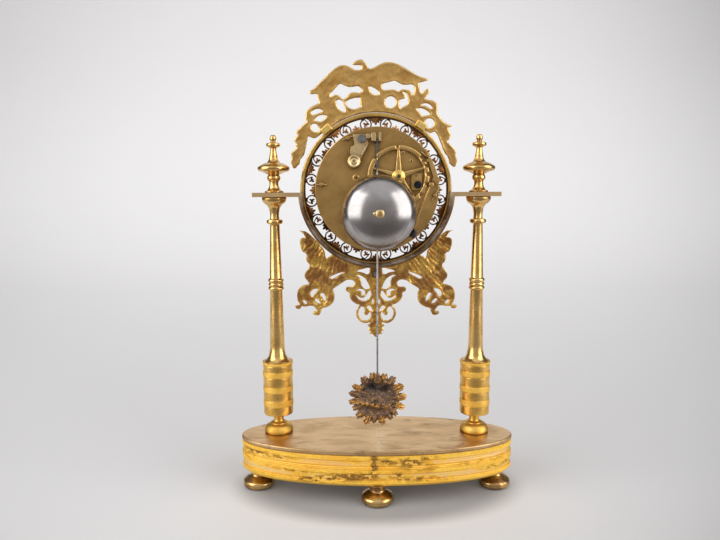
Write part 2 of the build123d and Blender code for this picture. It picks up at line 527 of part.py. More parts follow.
ORNAMENT_HOLES = [                    # (x, z) round each piercing
    [(35.8, 161.3), (34.6, 162.7), (31.9, 163.9), (28.8, 165.1), (25.7, 165.8), (26.0, 165.1),
     (28.8, 163.3), (31.9, 161.5), (34.3, 160.5)],
    [(51.4, 148.6), (50.4, 151.0), (48.4, 152.4), (45.5, 152.7), (46.1, 150.9), (47.7, 149.0),
     (48.9, 147.0), (50.1, 146.4)],
    [(43.4, 148.9), (41.4, 149.3), (39.9, 147.7), (39.1, 145.4), (39.3, 143.0), (40.7, 143.8),
     (41.9, 145.8), (43.0, 147.8)],
    [(47.8, 143.8), (46.6, 145.0), (44.6, 143.4), (43.5, 141.4), (45.8, 141.4)],
    [(57.2, 143.4), (55.6, 143.8), (54.2, 141.8), (54.5, 140.9), (56.0, 140.9)],
    [(14.7, 166.3), (12.8, 167.5), (10.1, 168.1), (6.9, 169.0), (5.0, 168.9), (5.0, 166.9),
     (5.4, 165.0), (7.0, 163.9), (9.3, 165.0), (12.0, 165.8)],
    [(15.1, 163.2), (13.2, 163.4), (10.5, 162.2), (8.1, 160.3), (6.6, 157.9), (5.4, 155.1),
     (5.0, 153.3), (6.6, 152.4), (8.2, 152.4), (9.7, 153.4), (11.3, 155.5), (11.4, 158.7),
     (12.4, 161.1)],
    [(15.2, 147.7), (14.1, 145.3), (11.7, 143.4), (8.6, 143.0), (5.8, 144.4), (4.3, 146.8),
     (3.9, 149.6), (5.0, 151.2), (7.2, 148.4), (9.0, 146.0), (11.3, 145.4), (13.7, 146.5)],
    [(14.8, 151.6), (13.6, 152.4), (11.7, 152.5), (9.3, 151.6), (8.4, 149.6), (9.4, 147.6),
     (10.5, 147.2), (11.3, 148.4), (11.1, 150.0), (12.5, 151.0)],
    [(11.7, 138.3), (13.7, 134.9), (13.3, 131.3), (11.4, 128.5), (8.6, 127.3), (5.9, 128.1),
     (4.3, 130.1), (3.9, 132.5), (4.7, 134.1), (6.6, 132.0), (8.4, 131.8), (9.4, 133.6),
     (8.8, 136.0), (9.6, 138.0)],
    [(7.0, 138.5), (5.1, 139.3), (3.7, 137.7), (2.7, 135.3), (3.9, 134.9), (5.5, 136.5)],
    [(3.1, 142.8), (2.3, 144.6), (1.9, 143.4), (2.1, 141.2), (3.1, 141.3)]]
ORNAMENT_BOSSES = [                   # (x, z, radius)
    (45.8, 184.5, 2.4), (47.6, 171.5, 2.4), (35.5, 169.5, 2.6), (54.8, 151.2, 1.6),
    (37.0, 152.0, 1.8), (22.0, 152.2, 1.1), (27.0, 160.9, 1.6), (44.6, 160.5, 3.0)]
ORNAMENT_SPINE = [                    # raised strip down the middle, (x, z)
    (-2.0, 118.5), (2.0, 118.5), (2.4, 126.0), (1.6, 140.0), (2.6, 152.0), (3.0, 168.0),
    (-3.0, 168.0), (-2.6, 152.0), (-1.6, 140.0), (-2.4, 126.0)]


@piece
def lower_ornament():
    y0, y1 = ORNAMENT_Y
    arc = [polar(ORNAMENT_R, -56.5 - 33.5 * i / 9, CENTRE) for i in range(10)]
    body = prism(ORNAMENT_TOP + arc + ORNAMENT_PENDANT + ORNAMENT_CREATURE, y0, y1)
    body = pierce(body, ORNAMENT_HOLES, y0, y1)
    for x, z, r in ORNAMENT_BOSSES:
        body += disc((x, z), r, -19.8, y0)
    body = body + mirror(body, about=Plane.YZ)
    body += prism(ORNAMENT_SPINE, -19.8, y0)
    return body - disc(ORNAMENT_SCREW, 1.25, -19.0, y1 + 1)


@piece
def ornament_bracket():
    y = ORNAMENT_Y[1]
    body = block(-3.2, 3.2, y, -14.8, 161.6, 171.2) + block(-3.2, 3.2, y + 0.2, -9.5, 170.0, 171.4)
    return body - disc(CENTRE, CRADLE_RO + 0.02, -20, -5) - disc(ORNAMENT_SCREW, 1.3, -19, -12)


# ---------------------------------------------------------------- dial
@piece
def chapter_ring():
    return turned_y([(CHAPTER_RI, -18.4), (CHAPTER_RO, -18.4), (CHAPTER_RO, -19.7),
                     ((36.0, -20.05), (CHAPTER_RI, -19.7))], CENTRE)


@piece
def dial_bezels():
    inner = [(25.6, -17.8), (26.95, -17.8), (26.95, PRINT_Y), (28.3, PRINT_Y),
             ((28.1, -20.7), (27.4, -20.9)), (26.4, -21.0), (25.6, -20.5)]
    outer = [(44.55, -18.4), (46.1, -18.4), (46.1, -20.3), ((45.6, -20.9), (44.9, -21.0)),
             ((44.0, -20.8), (43.7, PRINT_Y)), (44.55, PRINT_Y)]
    return [turned_y(inner, CENTRE), turned_y(outer, CENTRE)]


NUMERALS = ["XII", "I", "II", "III", "IIII", "V", "VI", "VII", "VIII", "IX", "X", "XI"]
NUMERAL_R, NUMERAL_HALF = 35.0, 4.2   # middle radius and half height
LETTERS = {                           # width, then strokes (outer end, inner end, thickness)
    "I": (2.1, [(0, 0, 1.05)]),
    "V": (4.4, [(-1.4, 0.1, 1.1), (1.5, 0.1, 0.45)]),
    "X": (4.4, [(-1.4, 1.4, 1.1), (1.4, -1.4, 0.45)]),
}


@piece
def dial_markings():
    track = ring(CENTRE, 43.5, 43.25, *PRINT_SPAN) + ring(CENTRE, 41.85, 41.6, *PRINT_SPAN)
    for k in range(60):
        width = 0.7 if k % 5 == 0 else 0.22
        ends = polar(41.7, 6 * k, CENTRE), polar(43.4, 6 * k, CENTRE)
        track += bar(*ends, width, width, *PRINT_SPAN)
    marks = [track]
    for k, numeral in enumerate(NUMERALS):
        axis = unit(90 - 30 * k)
        left = -sum(LETTERS[letter][0] for letter in numeral) / 2
        for letter in numeral:
            width, strokes = LETTERS[letter]
            middle = left + width / 2
            bars = [bar(local(CENTRE, axis, NUMERAL_R + NUMERAL_HALF, -middle - outer),
                        local(CENTRE, axis, NUMERAL_R - NUMERAL_HALF, -middle - inner),
                        thick, thick, *PRINT_SPAN) for outer, inner, thick in strokes]
            marks.append(bars[0] if len(bars) == 1 else bars[0] + bars[1])
            left += width
    return marks


@piece
def dial_posts():
    profile = [(0, -18.3), (0.8, -18.3), (0.8, -17.0), (1.6, -17.0), ((1.0, -15.0), (1.6, -13.0)),
               (0.8, -13.0), (0.8, -11.2), (0, -11.2)]
    return [turned_y(profile, c) for c in DIAL_POSTS]


# ---------------------------------------------------------------- movement plates
SHARED_HOLES = [(c, 1.52) for c in PILLARS] + [   # (station, radius)
    (GOING, 2.65), (STRIKE, 2.65), (THIRD, 0.85), (ESCAPE, 0.85), (PIN, 0.85), (LOCKING, 0.85),
    (FLY, 0.75), (HAMMER, 1.0), (DETENT, 0.95)]


def drill(plate, holes, span):
    for c, r in holes:
        plate = plate - disc(c, r, *span)
    return plate


@piece
def front_plate():
    plate = disc(CENTRE, PLATE_R, *FRONT_PLATE_Y)
    plate = fillet(plate.edges().group_by(Axis.Y)[0], 0.4)
    holes = [(CENTRE, 1.55), (PALLETS, 0.85), (SECOND, 1.25), (MINUTE, 0.9)]
    holes += [(c, 0.85) for c in DIAL_POSTS] + [(c, 0.95) for c in CLICKS.values()]
    holes += [(c, 0.75) for c in CLICK_SPRINGS.values()]
    return drill(plate, SHARED_HOLES + holes, FRONT_DRILL)


@piece
def back_plate():
    plate = disc(CENTRE, PLATE_R, *BACK_PLATE_Y)
    plate = fillet(plate.edges().group_by(Axis.Y)[-1], 0.4)
    holes = [(CENTRE, 1.25), (PALLETS, 3.0), (SECOND, 1.45), (KNOB, 1.25), (COCK_SCREW, 1.05),
             (BRIDGE_SCREW, 1.05), (from_dial(-16.4, 35.4), 0.6)]
    holes += [(c, 1.05) for c in BELL_SCREWS]
    plate = drill(plate, SHARED_HOLES + holes, BACK_DRILL)
    # raised rings round three pivot holes
    for c, r, height in ((THIRD, 2.1, 0.6), (ESCAPE, 1.5, 0.15), (LOCKING, 1.5, 0.15)):
        plate += ring(c, r, 0.85, BACK_Y - 0.2, BACK_Y + height)
    return plate


def across_pillar(c, turn):
    """Place of the taper pin through the rear end of a pillar."""
    return Pos(c[0], 18.95, c[1]) * Rot(0, turn, 0) * Rot(0, 90, 0)


@piece
def plate_pillars():
    profile = [(0, -12.8), (1.5, -12.8), (1.5, -11.0), (2.4, -11.0), (2.4, -9.2),
               ((1.7, 2.5), (2.4, 14.2)), (2.4, 16.0), (1.5, 16.0), (1.5, 20.4), (1.2, 20.8),
               (0, 20.8)]
    return [turned_y(profile, c) - across_pillar(c, turn) * Cylinder(0.55, 8)
            for c, turn in zip(PILLARS, PIN_TURNS)]


@piece
def pillar_pins():
    return [across_pillar(c, turn) * Cone(0.5, 0.38, 7.6) for c, turn in zip(PILLARS, PIN_TURNS)]


# ---------------------------------------------------------------- back furniture
COCK_OUTLINE = [                      # (x, z) from the dial axis
    (16.9, 38.4), (3.6, 38.4), (3.6, 35.2), (6.4, 34.6), (6.3, 30.9), (11.9, 20.6), (16.0, 16.6),
    (20.0, 18.8), (18.2, 23.0), (18.7, 26.1), (18.3, 29.8), (15.6, 31.2)]
COCK_RIB = [(6.3, 31.2), (7.5, 31.2), (11.4, 24.2), (10.3, 23.6)]


@piece
def suspension_cock():
    cock = prism([from_dial(*p) for p in COCK_OUTLINE], BACK_Y, 20.2)
    cock += disc(KNOB, 4.1, BACK_Y, 20.2)
    cock += prism([from_dial(*p) for p in COCK_RIB], BACK_Y, 21.2)
    cock += block(3.6, 7.5, 20.2, 23.8, DIAL_Z + 35.4, DIAL_Z + 38.4)
    cock += block(-2.7, 3.9, 20.4, 27.8, DIAL_Z + 33.3, DIAL_Z + 38.9)
    cock -= block(-1.1, 1.1, 24.6, 29.0, DIAL_Z + 30, DIAL_Z + 40.5)
    cock -= disc(PALLETS, 0.85, 19, 24.0)
    cock -= disc(from_dial(0, 39.0), 1.5, 19, 30)
    return cock - disc(COCK_SCREW, 1.3, 17, 24) - disc(KNOB, 1.25, 17, 24)


@piece
def plate_screws():
    screws = [screw(COCK_SCREW, (2.75, 20.2, 21.8), (1.0, 16.2, 20.3), 21.8, (7, 1.2, 0.6), 25),
              screw(ORNAMENT_SCREW, (1.9, -14.8, -13.7), (1.2, -18.6, -14.7), -13.7,
                    (5, 0.9, 0.5))]
    screws += [screw(c, (1.6, 19.6, 20.6), (1.0, 16.2, 19.7), 20.6, (5, 0.8, 0.45))
               for c in BELL_SCREWS]
    screws += [screw(c, (1.9, -16.5, -15.4), (0.9, -15.5, -11.4), -16.5, (5, 0.9, 0.5))
               for c in CLICKS.values()]
    return screws


@piece
def strike_bridge():
    bridge = block(-31.6, -24.2, BACK_Y, 20.1, DIAL_Z - 0.3, DIAL_Z + 11.5)
    bridge = fillet(bridge.edges().filter_by(Axis.Y), 1.2)
    return bridge - disc(BRIDGE_SCREW, 1.1, 17, 22) - disc(from_dial(-27.4, 9.4), 0.6, 19.2, 22)


@piece
def bridge_screw():
    return screw(BRIDGE_SCREW, (2.6, 20.1, 21.2), (1.0, 16.2, 20.2), 21.2, (7, 0.8, 0.55), -30)


@piece
def rating_knob():
    return turned_y([(0, 16.4), (1.2, 16.4), (1.2, 20.25), (3.6, 20.25), (4.5, 20.9), (4.5, 22.8),
                     ((4.2, 23.5), (3.5, 23.6)), (3.0, 23.2), (2.3, 23.0), (1.7, 23.2),
                     (0.7, 23.2), (0.7, 22.2), (0, 22.2)], KNOB)


# ---------------------------------------------------------------- bell
@piece
def bell():
    return turned_y([(26.4, 30.0), ((26.15, 31.2), (25.9, 32.4)), ((24.2, 38.0), (19.6, 42.9)),
                     ((12.0, 47.0), (1.65, 48.4)), (1.65, 47.2), ((11.5, 45.7), (18.7, 41.9)),
                     ((23.0, 37.4), (24.7, 32.2)), (25.0, 30.0)], BELL)


@piece
def bell_stand():
    stand = block(10.0, 16.0, BACK_Y, 19.6, DIAL_Z - 34.4, DIAL_Z - 22.4)
    stand += block(11.6, 14.4, 19.5, 37.0, DIAL_Z - 25.4, DIAL_Z - 22.6)
    stand += bar(from_dial(13.0, -24.0), BELL, 2.8, 3.6, 35.0, 37.0)
    stand += disc(BELL, 2.6, 35.0, 47.1)
    stand += disc(BELL, 1.5, 35.0, 51.2)
    return drill(stand, [(c, 1.1) for c in BELL_SCREWS], (17, 21))


@piece
def bell_nut():
    nut = turned_y([(1.55, 48.75), (2.6, 48.75), (2.9, 49.2), (2.7, 50.2),
                    ((2.4, 50.9), (1.55, 51.0))], BELL)
    x, z = BELL
    wing = bar((x + 1.4, z), (x + 4.9, z + 0.4), 3.4, 0.9, 48.95, 50.1)
    return nut + (wing - disc(BELL, 1.55, 40, 60))


# ---------------------------------------------------------------- pendulum
@piece
def suspension_silk():
    silk = post((-0.5, ROD_Y), 0.19, 242.2, 263.9) + post((0.5, ROD_Y), 0.19, 242.2, 263.9)
    for z0, z1 in ((241.9, 242.3), (263.7, 264.05)):
        silk += block(-0.69, 0.69, ROD_Y - 0.19, ROD_Y + 0.19, z0, z1)
    return silk


@piece
def pendulum_rod():
    c = (0, ROD_Y)
    hook = block(-0.26, 0.26, ROD_Y - 1.6, ROD_Y + 1.6, 240.4, 243.4)
    hook -= block(-1, 1, ROD_Y - 0.95, ROD_Y + 0.95, 241.3, 242.6)
    hook -= block(-1, 1, ROD_Y - 3, ROD_Y - 0.95, 241.9, 242.4)
    return post(c, 0.7, 100.4, 241.0) + hook + post(c, 1.5, 97.0, 101.8) + post(c, 1.1, 84.6, 97.0)


@piece
def pendulum_bob():
    bob = turned_y([(0, 22.0), ((9.0, 22.4), (16.2, 24.6)), (17.6, 25.4), (17.6, 27.0),
                    ((16.6, 28.2), (15.0, 28.0)), ((12.6, 26.2), (8.0, 24.6)), (0, 23.8)], BOB)
    first, pitch = -21.0, 24.0
    for k in range(15):
        r = BOB_R - (0.7 if k % 3 == 1 else 0.0)
        lobe = [(16.2, -6.6), (17.9, -7.6), (19.4, -7.2), (20.1, -5.0), (r, -3.4), (r, 0.8),
                (r - 0.9, 3.6), (19.7, 5.6), (18.6, 7.4), (17.4, 7.0), (16.2, 6.2)]
        bob += prism([polar(q, first + k * pitch + a, BOB) for q, a in lobe], 24.9, 27.2)
    for k in range(15):
        bob += disc(polar(15.2, first + (k + 0.5) * pitch, BOB), 1.7, 24.6, 28.6)
    bob += block(-3.0, 3.0, 24.0, 27.4, 83.0, 97.0)
    return bob - post((0, ROD_Y), 1.15, 84.5, 97.0) - post((0, ROD_Y), 1.55, 96.9, 103)


# ---------------------------------------------------------------- barrels
GOING_MODULE = gear_module(GOING, CENTRE, BARREL_TEETH, CENTRE_LEAVES)
STRIKE_MODULE = gear_module(STRIKE, SECOND, BARREL_TEETH, SECOND_LEAVES)


def barrel(c, module, mate, wheel_y, drum_y):
    body = wheel(BARREL_TEETH, module, c, mate, *wheel_y) + disc(c, 17.2, *drum_y)
    return body - disc(c, 16.0, -6.8, 6.8) - disc(c, 2.65, -9, 9)


def mainspring(c):
    outer, inner = [], []
    turns, steps = 5.0, 150
    for i in range(steps + 1):
        f = i / steps
        r = 15.5 - 8.2 * f
        outer.append(polar(r, 360 * turns * f, c))
        inner.append(polar(r - 0.5, 360 * turns * f, c))
    return prism(outer + inner[::-1], -5.8, 5.8)


def winding_arbor(side):
    """Arbor with its ratchet wheel and winding square."""
    c = BARRELS[side]
    teeth = 24
    ratchet = []
    for k in range(teeth):
        ratchet += [polar(7.5, side * 360.0 * k / teeth, c),
                    polar(6.3, side * 360.0 * (k + 0.12) / teeth, c)]
    body = disc(c, 2.6, -13.4, 17.6) + disc(c, 4.2, -6.4, 6.4)
    body += prism(ratchet[::side], -15.2, -13.3)
    square = facing(-15.1) * Pos(*c) * RegularPolygon(2.3, 4, rotation=45)
    return body + extrude(square, amount=4.7)


save(barrel(GOING, GOING_MODULE, CENTRE, (6.0, 8.0), (-8.0, 6.0)), "going_barrel")
save(barrel(STRIKE, STRIKE_MODULE, SECOND, (-8.0, -6.0), (-6.0, 8.0)), "strike_barrel")
for side, train in ((1, "going"), (-1, "strike")):
    save(mainspring(BARRELS[side]), f"{train}_mainspring")
    save(winding_arbor(side), f"{train}_winding_arbor")

# ---------------------------------------------------------------- going train
CENTRE_MODULE = gear_module(THIRD, CENTRE, CENTRE_TEETH, LEAVES)
THIRD_MODULE = gear_module(THIRD, ESCAPE, THIRD_TEETH, LEAVES)
ESCAPE_R = dist(ESCAPE, PALLETS) / 1.42


@piece
def centre_wheel():
    arbor = disc(CENTRE, 1.2, 8.0, 17.6) + disc(CENTRE, 1.5, -13.1, 10.0)
    arbor += disc(CENTRE, 0.9, -24.6, -13.0)
    arbor += pinion(CENTRE_LEAVES, GOING_MODULE, CENTRE, GOING, 5.4, 9.4)
    body = crossed_wheel(CENTRE_TEETH, CENTRE_MODULE, CENTRE, THIRD, 11.0, 12.0, hub=3.6,
                         rim=CENTRE_TEETH * CENTRE_MODULE / 2 - 2.4, spokes=5, width=1.8)
    return arbor + body + disc(CENTRE, 2.4, 9.4, 12.6)


@piece
def third_wheel():
    body = crossed_wheel(THIRD_TEETH, THIRD_MODULE, THIRD, ESCAPE, -9.9, -9.0, hub=2.8,
                         rim=THIRD_TEETH * THIRD_MODULE / 2 - 2.0, spokes=5, width=1.5, first=60)
    body += disc(THIRD, 0.8, *ARBOR_Y)
    body += disc(THIRD, 1.1, -10.6, 15.4)
    body += disc(THIRD, 2.0, -10.3, -8.4)
    return body + pinion(LEAVES, CENTRE_MODULE, THIRD, CENTRE, 10.4, 12.6)


@piece
def escape_wheel():
    points, pitch, root_r = [], 360.0 / ESCAPE_TEETH, ESCAPE_R - 1.5
    for k in range(ESCAPE_TEETH):
        a = angle_to(ESCAPE, PALLETS) + k * pitch
        tooth = ((root_r, -0.36), (ESCAPE_R, -0.10), (ESCAPE_R, 0.02), (root_r, 0.14))
        points += [polar(r, a + part * pitch, ESCAPE) for r, part in tooth]
    body = crossed(prism(points, 2.0, 2.9), ESCAPE, 2.0, 2.9, hub=2.2, rim=ESCAPE_R - 2.8,
                   spokes=4, width=1.2, first=45)
    body += disc(ESCAPE, 0.8, *ARBOR_Y)
    body += disc(ESCAPE, 1.0, -10.9, 15.0)
    body += disc(ESCAPE, 1.8, 1.2, 3.6)
    return body + pinion(LEAVES, THIRD_MODULE, ESCAPE, THIRD, -10.6, -8.3)


@piece
def pallets_and_crutch():
    x, z = PALLETS
    body = disc(PALLETS, 0.8, -12.8, 23.4) + disc(PALLETS, 1.2, -10.9, 19.9)
    body += disc(PALLETS, 2.2, 0.8, 3.9)
    span = 7.5 * 180.0 / ESCAPE_TEETH
    for side in (1, -1):
        nib = polar(ESCAPE_R + 0.75, angle_to(ESCAPE, PALLETS) + side * span, ESCAPE)
        elbow = ((nib[0] + x) / 2 + (nib[0] - x) * 0.32, (nib[1] + z) / 2 + 1.6)
        body += bar(PALLETS, elbow, 2.4, 1.8, 1.5, 3.4)
        body += disc(elbow, 0.9, 1.5, 3.4)
        body += bar(elbow, (nib[0], nib[1] + 0.1), 1.8, 0.7, 1.5, 3.4)
    # crutch: down behind the back plate, then rearwards to the loop round the rod
    z0, z1 = DIAL_Z - 15.6, DIAL_Z - 14.4
    body += disc(PALLETS, 1.9, 18.5, 19.9)
    body += block(-0.6, 0.6, 18.7, 19.7, z0, z)
    body += block(-0.6, 0.6, 18.7, 24.2, z0, z1)
    loop = block(-2.0, 2.0, 24.0, 28.2, z0, z1)
    return body + (loop - block(-0.95, 0.95, 24.9, 27.2, z0 - 1.4, z1 + 1.4))


# ---------------------------------------------------------------- motion work and hands
CANNON_MODULE = gear_module(MINUTE, CENTRE, CANNON_LEAVES, MINUTE_TEETH)
HOUR_MODULE = gear_module(MINUTE, CENTRE, MINUTE_LEAVES, HOUR_TEETH)


def square_bar(half, y0, y1):
    return block(-half, half, y0, y1, DIAL_Z - half, DIAL_Z + half)


@piece
def cannon_pinion():
    body = pinion(CANNON_LEAVES, CANNON_MODULE, CENTRE, MINUTE, -16.4, -14.8)
    body += disc(CENTRE, 1.7, -22.4, -16.3)
    body += disc(CENTRE, 1.9, -14.9, -13.3)
    return body + square_bar(1.15, -23.5, -22.3) - disc(CENTRE, 0.92, -26, -12)


@piece
def minute_wheel():
    body = crossed_wheel(MINUTE_TEETH, CANNON_MODULE, MINUTE, CENTRE, -16.1, -15.2,
                         hub=2.4, rim=5.2, spokes=4, width=1.2, first=45)
    body += pinion(MINUTE_LEAVES, HOUR_MODULE, MINUTE, CENTRE, -18.4, -15.6)
    return body + disc(MINUTE, 0.85, -18.6, -11.4)


@piece
def hour_wheel():
    body = crossed_wheel(HOUR_TEETH, HOUR_MODULE, CENTRE, MINUTE, -18.1, -17.2,
                         hub=3.2, rim=5.8, spokes=4, width=1.2, first=45)
    return body + disc(CENTRE, 2.5, -21.8, -17.0) - disc(CENTRE, 1.78, -24, -15)


def hand(length, eye_at, eye_r, hub_width, eye_width, hub_r, bore, y0, y1, angle):
    """Tapered hand with a pierced round eye between its stem and its tip."""
    def at(along, across=0):
        return local(CENTRE, unit(angle), along, across)

    tip_at, tip_half = eye_at + 2 * eye_r - 1.2, eye_width * 0.8
    body = disc(CENTRE, hub_r, y0, y1)
    body += prism([at(0, hub_width / 2), at(eye_at, eye_width / 2), at(eye_at, -eye_width / 2),
                   at(0, -hub_width / 2)], y0, y1)
    body += disc(at(eye_at + eye_r - 0.4), eye_r, y0, y1)
    body += prism([at(tip_at, tip_half), at(length - 1.5, 0.3), at(length),
                   at(length - 1.5, -0.3), at(tip_at, -tip_half)], y0, y1)
    return body - disc(at(eye_at + eye_r + 0.1), eye_r - 0.9, y0 - 1, y1 + 1) - bore


@piece
def hour_hand():
    return hand(29.5, 17.0, 2.9, 2.0, 1.3, 3.7, disc(CENTRE, 2.52, -30, -10), -21.8, -21.2, 145.0)


@piece
def minute_hand():
    return hand(41.0, 27.0, 2.4, 1.7, 1.0, 3.0, square_bar(1.17, -30, -10), -23.4, -22.8, 30.0)


# ---------------------------------------------------------------- strike train
SECOND_MODULE = gear_module(SECOND, PIN, SECOND_TEETH, LEAVES)
PIN_MODULE = gear_module(PIN, LOCKING, PIN_TEETH, LEAVES)
LOCKING_MODULE = gear_module(LOCKING, FLY, LOCKING_TEETH, LEAVES)


@piece
def strike_second_wheel():
    body = crossed_wheel(SECOND_TEETH, SECOND_MODULE, SECOND, PIN, 13.2, 14.1, hub=3.0,
                         rim=SECOND_TEETH * SECOND_MODULE / 2 - 2.0, spokes=5, width=1.6)
    body += pinion(SECOND_LEAVES, STRIKE_MODULE, SECOND, STRIKE, -8.6, -5.2)
    body += disc(SECOND, 2.2, 12.4, 14.8)
    return body + disc(SECOND, 1.2, -12.8, 15.0) + disc(SECOND, 1.4, 14.8, 26.2)


@piece
def count_wheel():
    body = crossed(disc(SECOND, COUNT_R, 21.5, 22.5), SECOND, 21.5, 22.5, hub=3.4, rim=18.0,
                   spokes=5, width=2.2)
    # a notch after each hour's blows; 90 steps make one turn
    steps = 0
    for hour in range(1, 13):
        steps += hour + 1
        a = 140.0 + steps * 360.0 / 90
        notch = ((19.6, -2.4), (23.0, -2.6), (23.0, 2.6), (19.6, 2.4))
        body -= prism([polar(r, a + d, SECOND) for r, d in notch], 20, 24)
    body += turned_y([(0, 22.4), (3.7, 22.4), (3.7, 23.6), ((3.4, 24.6), (2.6, 25.0)),
                      (2.4, 25.9), (0, 25.9)], SECOND)
    return body - disc(SECOND, 1.42, 20, 27)


@piece
def pin_wheel():
    body = crossed_wheel(PIN_TEETH, PIN_MODULE, PIN, LOCKING, -4.0, -3.1,
                         hub=1.8, rim=4.6, spokes=4, width=1.2, first=20)
    body += pinion(LEAVES, SECOND_MODULE, PIN, SECOND, 12.7, 14.7)
    body += disc(PIN, 0.8, *ARBOR_Y)
    body += disc(PIN, 1.0, -10.9, 15.4)
    for k in range(10):
        body += disc(polar(5.6, 36 * k, PIN), 0.32, -3.2, -1.0)
    return body


@piece
def locking_wheel():
    body = crossed_wheel(LOCKING_TEETH, LOCKING_MODULE, LOCKING, FLY, 7.0, 7.8,
                         hub=1.8, rim=5.2, spokes=4, width=1.1, first=10)
    body += pinion(LEAVES, PIN_MODULE, LOCKING, PIN, -4.6, -2.5)
    return body + disc(LOCKING, 0.8, *ARBOR_Y) + disc(LOCKING, 0.85, -10.9, 15.4)


@piece
def fly():
    x, z = FLY
    body = pinion(LEAVES, LOCKING_MODULE, FLY, LOCKING, 6.5, 8.3) + disc(FLY, 0.7, *ARBOR_Y)
    body += block(x - 4.9, x + 4.9, -7.0, 0.8, z - 0.25, z + 0.25)
    return body + disc(FLY, 1.2, -7.4, 1.1)


@piece
def hammer():
    axis = (-24.0 / 28.09, -14.6 / 28.09)   # from the bell centre towards the head
    corners = ((26.75, -4.2), (29.9, -4.2), (30.2, 0), (29.9, 4.2), (26.75, 4.2))
    head = prism([local(BELL, axis, r, s) for r, s in corners], 24.2, 31.4)
    body = disc(HAMMER, 0.95, -12.8, 25.6) + disc(HAMMER, 1.7, 23.2, 25.6)
    body += bar(HAMMER, local(BELL, axis, 28.4, 0), 1.9, 1.5, 23.4, 24.8)
    body += head
    tail = polar(dist(HAMMER, PIN) - 6.2, angle_to(HAMMER, PIN), HAMMER)
    return body + bar(HAMMER, tail, 2.2, 1.2, -2.8, -1.6) + disc(HAMMER, 1.6, -3.2, -1.2)


@piece
def count_detent():
    tip = polar(COUNT_R + 0.2, 151.8, SECOND)
    elbow = polar(COUNT_R + 2.6, 151.8, SECOND)
    body = disc(DETENT, 0.9, -12.8, 24.2) + disc(DETENT, 2.65, 20.4, 23.0)
    body += disc(DETENT, 1.6, 23.0, 24.2)
    body += bar(DETENT, elbow, 2.4, 2.0, 21.2, 22.8)
    body += bar(elbow, tip, 2.0, 1.6, 21.2, 22.8)
    body += bar(DETENT, polar(13.5, 40.4, DETENT), 2.0, 1.4, 8.2, 9.4)
    return body + disc(DETENT, 1.5, 7.8, 9.8)


# ---------------------------------------------------------------- clicks
def click(side):
    c, centre = CLICKS[side], BARRELS[side]
    a = angle_to(centre, c)
    body = disc(c, 2.3, -15.2, -13.8)
    body += bar(c, polar(7.75, a + side * 26, centre), 3.0, 0.8, -15.2, -13.8)
    body += bar(c, polar(4.2, a + side * 60, c), 2.4, 1.4, -15.2, -13.8)
    return body - disc(c, 0.95, -20, -10)


save(click(1), "going_click")
save(click(-1), "strike_click")


@piece
def click_springs():
    springs = []
    for side, foot in CLICK_SPRINGS.items():
        x, z = CLICKS[side]
        springs.append(disc(foot, 1.4, -14.9, -13.0) + disc(foot, 0.7, -13.1, -11.4)
                       + bar(foot, (x + side * 4.3, z + 8.2), 1.0, 0.5, -14.8, -13.9))
    return springs
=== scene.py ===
# A gilt mantel clock seen from behind: an oval drum base on bun feet, two turned columns, a dial
# in a pierced gallery between a cast crest and a cast lower ornament, the movement, bell and bob.
# X runs across, the dial faces -Y, the movement and bell are on the +Y side, Z is up, floor at 0.
# Pieces are laid out in mm, with Y measured from the middle of the base; Shell.make scales them.
import json
import math

import bmesh
import bpy
import numpy as np
from mathutils import Matrix, Vector, geometry

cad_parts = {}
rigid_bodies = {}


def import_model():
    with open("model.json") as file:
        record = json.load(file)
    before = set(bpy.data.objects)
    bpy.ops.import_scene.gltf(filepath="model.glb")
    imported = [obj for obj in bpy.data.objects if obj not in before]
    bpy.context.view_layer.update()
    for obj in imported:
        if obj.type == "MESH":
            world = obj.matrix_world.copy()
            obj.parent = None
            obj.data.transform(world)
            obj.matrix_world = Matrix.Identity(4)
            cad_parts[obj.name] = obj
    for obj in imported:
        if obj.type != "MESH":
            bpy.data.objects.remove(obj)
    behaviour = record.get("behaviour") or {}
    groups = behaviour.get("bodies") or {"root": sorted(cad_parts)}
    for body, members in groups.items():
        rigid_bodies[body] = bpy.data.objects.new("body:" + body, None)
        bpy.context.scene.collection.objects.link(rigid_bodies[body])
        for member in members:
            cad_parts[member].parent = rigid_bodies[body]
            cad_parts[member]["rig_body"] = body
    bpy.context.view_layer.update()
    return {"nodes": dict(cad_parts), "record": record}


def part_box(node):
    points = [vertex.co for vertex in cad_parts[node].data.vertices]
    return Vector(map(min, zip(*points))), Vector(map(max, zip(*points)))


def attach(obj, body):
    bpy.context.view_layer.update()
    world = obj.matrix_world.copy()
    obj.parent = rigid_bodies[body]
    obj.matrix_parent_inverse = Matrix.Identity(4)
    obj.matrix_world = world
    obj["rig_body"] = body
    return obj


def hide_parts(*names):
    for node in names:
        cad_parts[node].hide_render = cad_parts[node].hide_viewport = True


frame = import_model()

NODES = frame["nodes"]
SLOT = {part["node"]: part["material_slot"] for part in frame["record"]["subparts"]}
MM = 0.001
TAU = 2 * math.pi


def box_middle(node, axis):
    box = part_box(node)
    return (getattr(box[0], axis) + getattr(box[1], axis)) / 2 / MM


DIAL_Z = round(box_middle("bezel_ring", "z"), 3)
DIAL = (0, DIAL_Z)                       # dial axis, (x, z)
BASE_Y = box_middle("base_body", "y")

# Shared places, mm
OVAL_X, OVAL_Y = 104.0, 36.2             # half axes of the base
FOOT_TOP = 15.05
TOP_Z = 42.35                            # upper face of the base plate
COLUMN_X, COLUMN_Y = 76.2, -4.5
FINIAL_Z = 227.3
BELL_X, BELL_Z = -1.3, 212.9
PENDULUM_Y = 26.0


